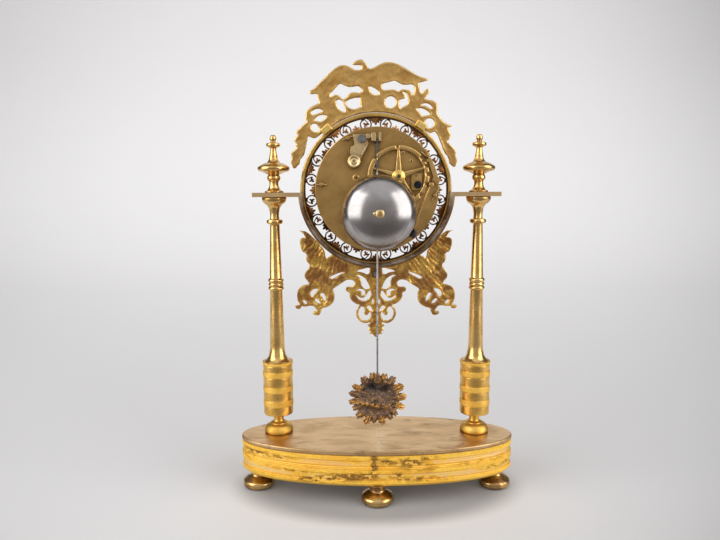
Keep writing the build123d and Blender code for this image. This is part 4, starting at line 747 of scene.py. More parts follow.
def silk():
    n = Net("silk")
    wave = n.add("ShaderNodeTexWave", wave_type="BANDS", bands_direction="DIAGONAL")
    n.put(wave.inputs["Vector"], n.mm())
    wave.inputs["Scale"].default_value = 1.4
    thread = wave.outputs["Fac"]
    n.set("Base Color", n.mix(thread, (0.035, 0.035, 0.03), (0.11, 0.11, 0.09)))
    n.set("Roughness", 0.7)
    n.set("Normal", n.bump(thread, depth=0.04))


def bob_patina():
    """Gilt left on the ridges, brown in the hollows (cav), near-black painted shade in the pits
    (stain_and_painted_light).
    """
    n = Net("bob_patina")
    hollow = n.attr("cav")
    blot = n.noise(n.mm(), scale=0.45, detail=5.0, rough=0.65, warp=0.6)
    dirt = n.remap(n.plus(hollow, n.swing(blot, 0.95)), span=(0.20, 0.80))
    gold = n.mix(n.noise(n.mm(), scale=0.7, detail=4.0, rough=0.6, span=(0.35, 0.7)),
                 (0.76, 0.43, 0.11), (0.44, 0.19, 0.05))
    dark = n.mix(n.noise(n.mm(), scale=0.35, detail=4.0, rough=0.6, span=(0.35, 0.62)),
                 (0.27, 0.155, 0.085), (0.12, 0.085, 0.07))
    color = n.mix(dirt, gold, dark)
    # painted shade: near-black where the attribute is set, in the pits of the back
    n.set("Base Color", n.mix(n.attr("stain_and_painted_light"), color, (0.016, 0.024, 0.034)))
    n.set("Metallic", 1.0)
    n.set("Roughness", n.plus(0.30, n.mul(dirt, 0.16)))
    n.set("Normal", n.bump(n.noise(n.mm(), scale=1.2, detail=4.0, rough=0.6), depth=0.22))


enamel()
black_enamel()
silk()
bob_patina()

# Every CAD node takes its slot's finish, apart from these; cock_brass_lit and wheel_brass_lit are
# paler copies of the movement brass that paint in a brighter reflection
OWN_FINISH = {"suspension_cock": "cock_brass_lit", "count_wheel": "wheel_brass_lit",
              "strike_bridge": "wheel_brass_lit", "count_detent": "wheel_brass_lit",
              "hammer": "dark_steel", "bell_stand": "movement_brass",
              "pillar_pins": "cock_brass_lit"}
for node, piece in NODES.items():
    finish = MATERIALS[OWN_FINISH.get(node, SLOT[node])]
    if not piece.material_slots:
        piece.data.materials.append(finish)
    for slot in piece.material_slots:
        slot.material = finish

# ------------------------------------------------------------------ oval base
# bands of the drum: z low, z high, inset, pattern, rounded edge, row spacing
BANDS = [
    (17.35, 20.6, 0.0, "knurl", 0.35, 0.24),
    (20.75, 25.1, -0.75, "worn plain", 0.2, 0.4),
    (25.25, 28.7, 0.0, "knurl", 0.35, 0.24),
    (28.75, 29.85, 0.0, "bead", 0.5, 0.18),
    (29.9, 31.0, 0.0, "shifted bead", 0.5, 0.18),
    (31.1, 32.9, -0.62, "plain", 0.2, 0.35),
    (33.0, 35.1, -0.7, "plain", 0.2, 0.35),
    (35.25, 39.0, 0.0, "knurl", 0.35, 0.24),
]
# profile rows below and above the bands: z, inset
FOOT_ROWS = [(FOOT_TOP, -3.1), (15.5, -2.9), (16.1, -2.35), (16.9, -1.7), (17.25, -1.2)]
RIM_ROWS = [(39.1, -1.1), (39.35, -1.3)]
# brown marks on the +Y side of the drum: x, z, half width, half height, strength
MARKS = [
    (2.6, 33.0, 2.6, 8.0, 1.0), (-7.0, 34.5, 6.5, 2.6, 0.8), (-22.0, 34.0, 9.0, 3.2, 0.7),
    (-30.0, 30.0, 8.0, 3.0, 0.6), (-36.0, 36.5, 7.0, 1.6, 0.6), (30.0, 22.0, 15.0, 2.4, 0.95),
    (48.0, 19.5, 14.0, 2.0, 0.8), (10.0, 23.5, 12.0, 2.6, 0.8), (-14.0, 24.0, 5.0, 2.4, 0.8),
    (-30.0, 21.0, 16.0, 1.8, 0.6), (88.0, 34.5, 10.0, 2.0, 0.6), (70.0, 34.0, 9.0, 1.4, 0.5),
    (62.0, 25.0, 12.0, 1.2, 0.4), (-70.0, 30.0, 14.0, 1.4, 0.4), (-88.0, 24.0, 10.0, 1.6, 0.4),
]


def oval_angles(count):
    """Angles evenly spaced along the oval, the length to each, and the full length."""
    angle = np.linspace(0, TAU, 6001)
    steps = np.hypot(np.diff(OVAL_X * np.cos(angle)), np.diff(OVAL_Y * np.sin(angle)))
    length = np.concatenate([[0], np.cumsum(steps)])
    along = np.linspace(0, length[-1], count, endpoint=False)
    return np.interp(along, length, angle), along, length[-1]


def oval_ring(angle, offset, z, scale=1.0):
    return np.stack([(OVAL_X + offset) * scale * np.cos(angle),
                     (OVAL_Y + offset) * scale * np.sin(angle), np.full(len(angle), z)], 1)


def base_rows():
    """Rows of the drum: z, inset, pattern, z low and z high of the band."""
    rows = [(z, inset, "none", 0, 0) for z, inset in FOOT_ROWS]
    for low, high, inset, pattern, edge, step in BANDS:
        count = max(3, int(round((high - low) / step)))
        for i in range(count + 1):
            f = i / count
            rim = min(f, 1 - f) * (high - low)
            drop = 0.45 * (1 - min(1, rim / edge)) ** 2
            rows.append((low + (high - low) * f, inset - drop, pattern, low, high))
    return rows + [(z, inset, "none", 0, 0) for z, inset in RIM_ROWS]


def base_pattern(pattern, z, low, high, along, girth):
    """How far the pattern of a band stands out along one row."""
    if pattern == "knurl":
        return 0.52 * crossed(along / (girth / 340.0), (z - low) * 0.62) - 0.30
    if "bead" in pattern:
        shift = 0.5 * (pattern == "shifted bead")
        middle, half = (low + high) / 2, (high - low) / 2
        dome = np.sqrt(np.clip(1 - ((z - middle) / half) ** 2, 0, 1))
        return 0.34 * dome * (0.45 + 0.55 * zigzag(along / (girth / 360.0) + shift)) - 0.16
    if pattern == "worn plain":
        return (-0.10 * smoothstep(fbm(along / 9.0, z / 3.2, 5, 4), 0.10, 0.45)
                + 0.03 * fbm(along / 1.4, z / 0.5, 9, 2))
    if pattern == "plain":
        return (0.03 * fbm(along / 2.6, z / 0.6, 12, 3)
                - 0.05 * smoothstep(fbm(along / 12.0, z / 3.0, 15, 3), 0.2, 0.5))
    return np.zeros(len(along))


def base_stain(pattern, z, along, angle):
    """Brown marks above zero, a pale wash below zero."""
    marks = sum(strength * mound(OVAL_X * np.cos(angle), z, *mark)
                for *mark, strength in MARKS) * (np.sin(angle) > 0)
    rim = 0.5 * smoothstep(fbm(along / 16.0, z / 5.0, 77, 3), 0.25, 0.6)
    mottle = smoothstep(fbm(along / 3.0, z / 1.6, 83, 4), -0.30, 0.12)
    plain = "plain" in pattern
    brown = np.clip((1.5 * marks + rim * (0.45 if plain else 0.25)) * mottle, 0, 1)
    wash = 0.85 if plain else 0.22 if "bead" in pattern else 0.10
    wash = wash * smoothstep(fbm(along / 30.0, z / 5.0, 91, 3), -0.5, 0.2)
    return np.where(brown > 0.06, brown, -wash)


def build_base():
    count = 2880
    angle, along, girth = oval_angles(count)
    points, cav, stain_and_painted_light = [], [], []
    for z, inset, pattern, low, high in base_rows():
        disp = base_pattern(pattern, z, low, high, along, girth)
        hollow = np.full(count, 0.55)
        if pattern == "knurl" or "bead" in pattern:
            wear = smoothstep(fbm(along / 21.0, z / 7.0, 31, 3), 0.05, 0.5)
            disp = disp * (1 - 0.25 * wear)
            hollow = 1 - (disp + 0.28) / 0.44
        rim = 0.7 if pattern == "none" and z > 38 else 0
        cav.append(np.clip(hollow, 0, 1) * 0.8 + rim)
        points.append(oval_ring(angle, inset + disp, z))
        stain_and_painted_light.append(base_stain(pattern, z, along, angle))
    rows = len(points)
    # close the shell with flat rings towards the middle on both faces
    for z, inset in (RIM_ROWS[-1], FOOT_ROWS[0]):
        for scale in (0.66, 0.33, 0.02):
            points.append(oval_ring(angle, inset, z, scale))
    points = np.vstack(points)
    faces = grid_faces(rows, count)
    top = [k * count for k in (rows - 1, rows, rows + 1, rows + 2)]
    bottom = [k * count for k in (0, rows + 3, rows + 4, rows + 5)]
    for chain, flip in ((top, False), (bottom, True)):
        for near, far in zip(chain, chain[1:]):
            for i in range(count):
                j, k = i, (i + 1) % count
                if flip:
                    j, k = k, j
                faces.append((near + j, near + k, far + k, far + j))
        end = cap(chain[-1], count)
        faces.append(end[::-1] if flip else end)
    cav = np.concatenate(cav + [np.full(6 * count, 0.3)])
    # painted shade: the underside (the last three rings) is made brown, and the ends of the oval drum
    # are darkened
    stain_and_painted_light = np.concatenate(stain_and_painted_light + [np.zeros(3 * count), np.ones(3 * count)])
    stain_and_painted_light = stain_and_painted_light + 0.24 * smoothstep(np.abs(points[:, 0]), 60, 104) * (stain_and_painted_light > -0.02)
    shell = Shell()
    shell.add(points, faces, cav, stain_and_painted_light)
    shell.make("base_drum", "chased_gilt", "chased_gilt", "base_body", merge=False, sharp=40)


# rim of the base plate: z, offset from the oval
PLATE_RIM = [(39.38, -6), (39.38, -0.5), (39.42, 0.05), (39.6, 0.22), (40.1, 0.26), (41.2, 0.26),
             (41.7, 0.20), (41.95, 0.08), (42.15, -0.12), (42.28, -0.36), (42.34, -0.62),
             (TOP_Z, -0.9), (TOP_Z, -3.0)]


def build_top():
    count = 720
    angle = oval_angles(count)[0]
    rows = [oval_ring(angle, offset, z) for z, offset in PLATE_RIM]
    for scale in [1.01 - 0.01 * k for k in range(2, 100, 2)] + [0.01]:
        ring = oval_ring(angle, PLATE_RIM[-1][1], TOP_Z, scale)
        ring[:, 2] += 0.018 * fbm(ring[:, 0] / 26.0, ring[:, 1] / 14.0, 3, 2)
        rows.append(ring)
    faces = grid_faces(len(rows), count)
    faces += [cap((len(rows) - 1) * count, count), cap(0, count)[::-1]]
    points = np.vstack(rows)
    x, y, z = points.T
    on_top = z > 42.3
    # painted shade: the side of the rim is darkened, fully below z 39.9
    edge = 1.0 * (z < 39.9) + 0.40 * (z < 42.1)
    smear = smoothstep(fbm(x / 15.0, y / 5.0, 14, 4), 0.18, 0.62) * on_top
    # painted reflection: a pale streak across the top face
    reflection_streak = 0.55 * np.exp(-((x + 2.5 - 0.06 * y) / 4.6) ** 2) * on_top * smoothstep(y, -20, 5)
    # painted shade: darker towards the ends and the +Y side of the top face
    ends = 0.26 * smoothstep(np.abs(x), 48, 100) + 0.10 * smoothstep(y, 20, 50)
    # brown smears on the top, with the painted shade of the rim and the ends
    brown = np.clip(0.22 * smear + edge + ends * (z > 42.1), 0, 1)
    shell = Shell()
    shell.add(points, faces, stain_and_painted_light=np.where(reflection_streak > smear, -reflection_streak, brown))
    shell.make("base_plate", "satin_gilt", "satin_gilt", "base_top_plate", merge=False, sharp=28)


build_base()
build_top()

# ------------------------------------------------------------------ feet and columns
FOOT_X, FOOT_Y = 91.8, 26.7
foot = profile((0.0, 0.0), [
    (9.2, 0.0), (10.3, 0.3), ((11.85, 1.6), (12.05, 3.4)), ((11.85, 5.2), (10.7, 6.4)),
    ((8.8, 7.6), (6.8, 8.7)), ((5.5, 9.9), (5.5, 11.4)), ((5.8, 13.0), (7.2, 13.9)), (7.6, 14.2),
    (7.6, FOOT_TOP), (0.0, FOOT_TOP)], arc_steps=14, fillet=0.2)
feet = Shell()
for centre in ((FOOT_X, 0), (-FOOT_X, 0), (0, FOOT_Y), (0, -FOOT_Y)):
    lathe(feet, foot, "Z", centre, 112)
feet.make("bun_feet_turned", "bun_gilt", "burnished_gilt", "bun_feet")


def lathe_columns(shell, outline, count, disp=None):
    for side in (-1, 1):
        lathe(shell, outline, "Z", (side * COLUMN_X, COLUMN_Y), count, closed=True, disp=disp)


def foot_knurl(angle, height, radius):
    band = (height > 43.0) * (height < 48.6) * (radius > 7.0)
    return (0.22 * crossed(angle * 44 / TAU, 0.5 * height) - 0.1) * band


column_feet = Shell()
lathe_columns(column_feet, profile((2.0, 42.36), [
    (10.2, 42.36), (10.7, 42.8), ((10.9, 44.4), (10.3, 46.0)), ((9.0, 48.0), (6.8, 49.2)),
    (6.2, 49.35), (6.1, 49.9), (5.4, 50.3), ((4.1, 51.3), (3.75, 53.2)),
    ((3.95, 55.4), (5.4, 57.2)), (2.0, 57.2)], arc_steps=12, fillet=0.15), 384, foot_knurl)
column_feet.make("column_feet_turned", "foot_gilt", "burnished_gilt", "column_feet")

# knurled rings round the column drums: z low, z high
KNURLS = [(64.2, 69.0), (75.4, 79.8), (87.2, 91.6), (96.6, 98.75)]


def ring_knurl(angle, height, radius):
    disp = 0.0
    for low, high in KNURLS:
        band = (height > low + 0.2) & (height < high - 0.2) & (radius > 11.4)
        slant = 0.60 * (height - (low + high) / 2)
        disp = disp + band * (0.34 * crossed(angle * 54 / TAU, slant) - 0.20)
    return disp


def drum_grooves(angle, height, radius):
    """Fine turned grooves in the plain bands, and a wider one beside each ring."""
    disp = -0.05 * (0.5 + 0.5 * np.cos(height * 7.0))
    for knurl in KNURLS:
        for edge in knurl:
            disp = disp - 0.22 * np.exp(-((height - edge) / 0.35) ** 2)
    return disp * (radius > 11.2)


cores = Shell()
core = [(2.0, 57.2), (10.3, 57.22), (11.1, 57.6), (11.25, 58.2)]
core += [(11.25, 58.2 + 0.5 * k) for k in range(1, 79)] + [(11.0, 98.2), (10.2, 98.88), (2.0, 98.88)]
lathe_columns(cores, core, 160, drum_grooves)
cores.make("column_drum_cores", "drum_core", "chased_gilt", "column_drums")
rings = Shell()
for side in (-1, 1):
    for low, high in KNURLS:
        barrel = [(11.24 + 0.24 * (1 - abs(2 * f - 1) ** 7), low + (high - low) * f)
                  for f in [k / 20 for k in range(21)]]
        lathe(rings, [(10.9, low)] + barrel + [(10.9, high)], "Z", (side * COLUMN_X, COLUMN_Y),
              528, closed=True, disp=ring_knurl)
rings.make("column_drum_rings", "ring_chased", "chased_gilt")

shafts = Shell()
lathe_columns(shafts, profile((2.0, 98.9), [
    (9.7, 98.9), (9.75, 99.2), ((7.5, 101.4), (6.4, 104.6)), ((5.8, 107.8), (5.55, 111.5)),
    (5.0, 138.0), (4.65, 153.9), (5.5, 154.3), ((5.95, 155.3), (5.5, 156.4)), (5.1, 156.8),
    ((5.7, 158.0), (5.2, 159.4)), (5.3, 160.1), ((5.95, 161.3), (5.4, 162.6)), (4.6, 163.0),
    (3.55, 203.4), (4.1, 203.8), (5.8, 204.4), ((6.1, 205.7), (5.7, 207.1)), (3.5, 207.7),
    ((3.3, 210.5), (3.7, 213.6)), ((4.5, 216.4), (6.0, 218.4)), ((8.4, 220.4), (9.2, 223.2)),
    (9.0, 224.1), (2.0, 224.1)], fillet=0.2), 112)
shafts.make("column_shafts_turned", "burnished_gilt", "burnished_gilt", "column_shafts")

finials = Shell()
lathe_columns(finials, profile((2.0, FINIAL_Z), [
    (7.0, FINIAL_Z), (7.1, 228.3), ((5.2, 229.3), (4.0, 230.9)), ((3.4, 232.8), (3.5, 235.5)),
    (4.6, 236.6), ((4.9, 238.1), (4.5, 239.6)), (3.9, 240.4), ((6.5, 241.6), (10.2, 242.9)),
    ((11.9, 244.6), (11.6, 246.2)), ((8.4, 248.2), (5.2, 249.4)), ((3.6, 251.4), (3.0, 254.4)),
    ((2.3, 257.6), (2.2, 259.9)), (3.0, 260.3), (4.9, 261.2), ((5.2, 262.3), (4.8, 263.4)),
    (2.9, 264.0), (1.7, 264.3), (1.7, 264.8), ((2.4, 267.2), (1.5, 269.3)), (0, 269.7),
    (0, 238.4), (2.0, 238.4)], fillet=0.18), 96)
finials.make("finials_turned", "burnished_gilt", "burnished_gilt", "column_finials")

# ------------------------------------------------------------------ dial rings, (radius, y)
bezel = Shell()
lathe(bezel, soften([
    (55.0, -16.0), (57.3, -16.0), (57.9, -16.6), (57.9, -18.4), (57.2, -19.6), (56.0, -20.0),
    (55.0, -19.6), (54.2, -19.4), (54.2, -18.46), (55.0, -18.45)], 0.3, closed=True),
    "Y", DIAL, 240, closed=True)
bezel.make("bezel_turned", "ring_gilt", "burnished_gilt", "bezel_ring")


def beading(count):
    return lambda angle, height, radius: 0.09 * ripple(angle, count) * (height < -20.6)


dial_bezels = Shell()
inner_bezel = profile((25.6, -17.8), [
    (26.95, -17.8), (26.95, -20.06), (28.3, -20.06), ((28.1, -20.7), (27.4, -20.9)),
    (26.4, -21.0), (25.6, -20.5)], arc_steps=6, fillet=0.12, closed=True)
outer_bezel = profile((44.55, -18.4), [
    (46.1, -18.4), (46.1, -20.3), ((45.6, -20.9), (44.9, -21.0)), ((44.0, -20.8), (43.7, -20.06)),
    (44.55, -20.06)], arc_steps=6, fillet=0.12, closed=True)
lathe(dial_bezels, inner_bezel, "Y", DIAL, 720, closed=True, disp=beading(120))
lathe(dial_bezels, outer_bezel, "Y", DIAL, 960, closed=True, disp=beading(190))
dial_bezels.make("dial_bezels_turned", "burnished_gilt", "burnished_gilt", "dial_bezels")

chapter = Shell()
lathe(chapter, profile((27.0, -18.4), [(44.5, -18.4), (44.5, -19.7), ((36.0, -20.05), (27.0, -19.7))],
                       arc_steps=24, fillet=0.12, closed=True), "Y", DIAL, 240, closed=True)
chapter.make("chapter_ring_enamel", "enamel", "enamel", "chapter_ring")

# ------------------------------------------------------------------ pillars, bell and knob
# plate pillars: x, z from the dial axis
PILLARS = [(39.2, 3.8), (20.6, 35.9), (-34.2, 23.8), (-40.9, -4.2), (0.0, -39.6)]
pillar = profile((0, -12.8), [
    (1.5, -12.8), (1.5, -11.0), (2.4, -11.0), (2.4, -10.2), (1.9, -9.7), (2.35, -9.2),
    ((1.7, 2.5), (2.35, 14.2)), (1.9, 14.7), (2.4, 15.2), (2.4, 16.0), (1.5, 16.0), (1.5, 18.2),
    (1.5, 20.3), (1.2, 20.7), (0, 20.8)], arc_steps=14, fillet=0.12)
pillars = Shell()
for x, z in PILLARS:
    lathe(pillars, pillar, "Y", (x, DIAL_Z + z), 40)
pillars.make("plate_pillars_turned", "movement_brass", "movement_brass", "plate_pillars")


def bell_unevenness(angle, height, radius):
    return 0.05 * fbm(angle * 3.0 + 9.0, height / 6.0, 19, 2) * np.clip(radius / 24.0, 0, 1)


bell = Shell()
lathe(bell, profile((25.0, 30.0), [
    (26.4, 30.0), ((26.2, 31.2), (25.9, 32.4)), ((24.2, 38.0), (19.6, 42.9)),
    ((12.0, 47.0), (1.65, 48.4)), (1.65, 47.2), ((11.5, 45.7), (18.7, 41.9)),
    ((23.0, 37.4), (24.7, 32.2))], arc_steps=30, fillet=0.3, closed=True),
    "Y", (BELL_X, BELL_Z), 192, closed=True, disp=bell_unevenness)
bell.make("bell_turned", "bell_metal", "bell_metal", "bell")

# bell nut: half width, y; rounded square below NUT_ROUND_Y, round beyond it
NUT_ROWS = [(2.3, 48.72), (2.65, 48.9), (2.75, 49.3), (2.75, 49.9), (2.6, 50.25), (2.2, 50.45),
            (1.75, 50.5), (1.6, 50.75), (1.45, 51.0), (1.0, 51.17), (0.3, 51.19)]
NUT_ROUND_Y = 50.48
# the wing on its +X side: x, z from the bell's axis
NUT_WING = [(1.2, -1.7), (3.4, -1.4), (4.7, -0.3), (4.8, 0.5), (3.2, 1.5), (1.2, 1.8)]


def build_bell_nut():
    power = 2.9                          # squareness of the rounded square
    rows = []
    for half, y in NUT_ROWS:
        ring = []
        for i in range(40):
            angle = TAU * i / 40 + 0.12
            cosine, sine = math.cos(angle), math.sin(angle)
            radius = half
            if y < NUT_ROUND_Y:
                radius = half / (abs(cosine) ** power + abs(sine) ** power) ** (1 / power)
            ring.append((BELL_X + radius * cosine, y, BELL_Z + radius * sine))
        rows.append(ring)
    nut = Shell()
    add_rings(nut, rows)
    wing = smooth_loop([(BELL_X + x, BELL_Z + z) for x, z in NUT_WING])
    relief(nut, [wing], 49.5, 48.95, 0.4, flat, lambda points, depth: rim_height(depth, 0.45, 0.5),
           rim_drop=0.2)
    nut.make("bell_nut_shaped", "cock_brass_lit", "movement_brass", "bell_nut", merge=False, sharp=45)


build_bell_nut()


def knob_teeth(angle, height, radius):
    return 0.12 * ripple(angle, 44) * (radius > 4.3)


knob = Shell()
lathe(knob, profile((0, 16.4), [
    (1.2, 16.4), (1.2, 20.25), (3.6, 20.25), (4.4, 20.8), (4.5, 21.1), (4.5, 22.8),
    ((4.2, 23.5), (3.5, 23.6)), (3.0, 23.2), (2.3, 22.9), (1.7, 23.2), (0.75, 23.2), (0.7, 22.2),
    (0, 22.2)], arc_steps=8, fillet=0.14), "Y", (16.1, DIAL_Z + 19.6), 180, disp=knob_teeth)
knob.make("rating_knob_turned", "cock_brass_lit", "movement_brass", "rating_knob", body="knob_body")


# ------------------------------------------------------------------ cast crest and lower ornament
def points_of(text):
    """A measured line written as x,z pairs in mm."""
    return np.array(text.replace(",", " ").split(), float).reshape(-1, 2)


def loops_of(text):
    return [points_of(loop) for loop in text.split(";")]


# upper edge from near the middle out to the -X tip and back in to the dial ring
CREST_MINUS_X = points_of("""
17.7,322.4 14.7,324.7 11.7,325.6 9.5,325.0 7.3,322.5 5.4,319.6 4.0,319.0 2.0,319.6 -0.2,320.6
-3.2,322.2 -5.4,323.1 -7.7,323.7 -9.9,323.8 -12.2,323.5 -14.4,322.9 -17.4,321.8 -20.4,320.2
-23.4,318.5 -26.4,316.7 -29.4,314.9 -32.4,313.5 -35.4,312.4 -38.0,311.6 -39.5,310.7 -37.7,309.9
-34.7,309.1 -32.4,308.5 -32.5,307.1 -32.8,304.9 -33.6,302.3 -34.8,300.8 -35.9,301.9 -37.4,303.4
-38.5,304.1 -40.0,303.4 -40.2,301.9 -39.1,300.1 -37.8,298.3 -37.4,297.0 -39.3,296.2 -42.3,295.7
-44.6,294.7 -46.1,293.1 -46.3,290.9 -46.4,288.7 -46.2,286.5 -47.3,284.3 -49.3,282.0 -51.5,279.8
-54.2,278.1 -56.9,277.4 -57.6,276.9 -56.5,276.1 -54.9,275.4 -55.3,273.5 -56.2,271.6 -56.8,269.9
-56.2,268.3 -55.5,266.6 -54.2,265.5 -55.2,264.2 -57.1,262.3 -59.0,260.5 -60.2,258.6 -60.8,256.7
-60.6,254.5 -61.4,252.6 -61.8,250.7 -61.1,248.8 -60.7,247.0 -59.6,246.2 -58.1,247.0 -56.9,248.1
-55.7,249.6 -55.6,251.5 -54.9,253.0 -54.1,254.9 -52.8,256.0 -51.6,258.3 -50.6,260.1 -49.8,262.7
-48.6,265.4 -47.7,268.0 -46.6,270.2 -45.2,272.1 -44.1,272.6 -42.6,271.9 -41.1,271.6 -39.2,272.4""")
# the same for the +X side
CREST_PLUS_X = points_of("""
19.2,320.1 21.5,321.2 23.7,321.7 26.0,321.5 28.2,320.8 30.5,319.5 32.7,317.7 35.0,315.7
38.0,312.8 41.1,309.9 43.7,307.4 46.4,304.9 49.0,303.4 49.8,302.3 49.4,301.0 47.9,300.6
44.9,300.8 43.8,300.1 43.8,298.3 43.1,296.4 42.6,294.4 45.0,293.1 47.3,292.1 49.6,290.6
51.9,288.8 52.9,286.9 52.8,284.7 53.3,282.9 52.9,281.4 52.0,280.6 53.5,279.2 56.2,277.0
58.1,275.1 60.1,273.3 60.1,272.2 59.4,270.7 60.5,269.2 61.8,267.3 61.3,265.5 60.6,264.3
61.0,262.9 60.3,261.4 61.4,259.9 63.4,258.0 64.5,256.7 64.2,255.0 63.8,253.5 64.4,251.3
64.8,249.8 63.9,248.3 63.6,246.7 62.4,245.6 60.9,246.0 60.1,247.1 59.4,247.9 58.2,249.0
57.8,250.9 57.4,252.4 55.8,254.2 54.3,256.5 53.6,259.5 53.0,261.7 52.6,264.3 51.8,266.9
51.4,269.1 50.6,269.5 48.4,268.5 46.5,268.2 44.6,268.9 42.7,270.2 41.0,271.6 39.2,272.6""")
CREST_BEAK = points_of("""
17.0,321.9 14.7,321.6 11.8,321.6 10.6,320.9 10.6,319.2 11.8,318.2 13.3,318.0 15.5,318.2
17.7,319.3""")
CREST_HOLES = loops_of("""
34.0,298.6 34.0,301.2 32.1,303.0 29.8,305.5 27.6,307.7 26.1,308.1 24.2,307.1 21.6,306.1
19.3,305.7 16.3,306.0 13.3,306.3 11.4,305.1 10.3,303.6 10.7,302.1 12.6,301.4 14.8,301.8
17.1,301.8 19.4,301.1 21.3,299.3 23.1,297.4 25.0,296.9 27.4,299.3 30.6,300.2;
29.8,295.6 29.6,293.4 28.5,290.5 26.2,288.3 23.6,287.5 22.8,288.3 23.2,290.5 23.9,292.7
24.7,294.9 25.8,295.9 27.8,296.6;
22.4,294.1 21.7,295.6 19.4,296.7 16.4,297.6 13.4,297.9 11.9,297.8 11.6,295.6 11.6,293.4
11.3,291.5 13.4,290.4 16.0,289.7 18.7,290.0 20.9,291.2 22.2,293.0;
48.5,287.6 47.4,288.7 45.1,289.6 42.8,289.8 40.9,289.2 40.3,288.3 41.7,287.2 43.6,286.5
46.3,285.6 48.1,285.8;
46.3,281.7 45.2,283.2 43.3,284.7 41.4,285.2 38.7,285.2 37.4,284.6 37.6,283.5 39.5,281.7
41.0,280.6 42.5,280.5 44.8,281.0;
49.0,277.3 48.2,278.6 46.7,278.9 44.8,278.4 43.4,276.5 42.8,274.3 43.4,273.0 45.3,272.8
47.2,273.2 48.7,275.1;
5.1,305.8 3.6,306.0 1.3,305.0 -0.9,303.6 -2.4,302.1 -2.4,300.6 -1.3,299.9 1.7,300.1 3.6,301.7
4.7,303.6;
-4.7,305.0 -4.7,307.2 -5.8,308.3 -8.4,308.8 -11.4,309.6 -13.7,310.2 -15.2,309.8 -17.4,308.6
-19.7,307.5 -21.9,307.1 -24.9,307.3 -27.2,307.4 -28.7,306.3 -29.3,304.2 -29.0,302.0 -28.4,300.1
-27.2,300.1 -26.5,301.6 -25.3,303.1 -22.0,303.8 -19.7,303.8 -16.7,302.4 -14.5,303.5 -12.2,303.9
-9.2,303.5 -6.2,303.5;
-20.5,302.0 -22.4,301.4 -23.5,299.8 -24.3,297.6 -24.4,295.4 -23.9,293.2 -22.0,291.7 -19.8,290.6
-18.6,289.8 -17.9,290.7 -17.5,292.9 -17.5,294.7 -18.2,296.2 -20.5,296.9 -22.0,297.6 -22.0,299.1
-21.2,300.5;
-34.4,292.4 -35.6,293.3 -37.8,293.6 -40.1,293.0 -42.0,291.4 -42.6,290.0 -41.3,289.6 -39.4,290.7
-37.1,291.7 -35.2,291.9;
-31.1,289.6 -33.0,290.0 -35.2,289.7 -37.9,288.5 -40.1,286.9 -40.8,285.4 -38.7,284.8 -36.4,284.3
-35.3,284.1 -34.1,285.4 -32.6,287.3 -31.3,288.6""")
# +X half of the lower ornament: upper edge from the tip in to the dial ring
LOWER_TOP = points_of("""
59.4,198.3 57.1,197.9 54.8,197.7 52.5,196.3 50.2,194.4 47.9,192.1 45.6,190.1 43.3,187.4
41.4,184.7 39.9,182.3 39.5,180.0 39.2,177.9 38.4,176.6 37.2,177.6 35.2,178.6 32.5,180.8""")
# and its lower edge, from the bottom tip: the pendant, then the side figure up to the tip
LOWER_EDGE = points_of("""
0,113.9 2.0,115.6 3.1,116.8 5.0,116.6 4.5,118.9 6.1,119.7 5.1,122.1 6.7,123.3 5.5,124.5
4.9,126.2 6.4,125.7 8.6,125.3 11.4,126.1 13.7,128.1 15.3,130.9 15.7,134.1 14.5,137.3 12.9,139.7
14.9,140.5 17.6,142.1 19.6,144.1 20.7,146.9 21.0,149.6 22.9,150.6 23.6,152.4 22.6,154.0
20.6,154.2 18.6,154.2 17.4,155.4
16.4,157.2 17.9,159.1 20.2,159.8 23.4,159.3 26.5,157.2 29.6,155.2 32.0,153.7 33.6,152.1
32.8,150.1 32.5,147.3 32.6,144.5 33.7,141.8 36.1,139.4 39.2,138.0 41.6,137.4 42.6,136.6
42.8,135.0 43.6,133.4 44.8,131.8 47.1,131.8 48.7,132.3 49.5,133.9 48.7,134.8 46.9,134.9
46.5,135.9 47.5,137.4 49.0,139.0 51.8,139.3 54.9,138.7 56.9,138.8 58.4,138.7 59.2,137.2
61.2,136.8 62.8,137.5 63.3,139.1 62.0,139.7 60.2,139.9 60.0,141.1 61.1,143.1 61.6,145.4
61.6,148.6 61.0,151.4 59.4,153.8 57.0,155.3 54.2,156.1 52.3,156.5 53.0,158.5 54.6,160.4
55.6,162.4 55.4,164.4 54.1,166.7 52.5,168.7 51.7,170.6 51.8,172.2 53.2,173.4 54.0,175.4
54.1,177.7 53.9,179.6 55.0,181.0 56.6,181.6 57.7,183.6 58.6,186.3 58.8,189.0 58.5,191.3
57.0,192.5 54.9,192.9 55.2,194.4 56.7,196.4""")
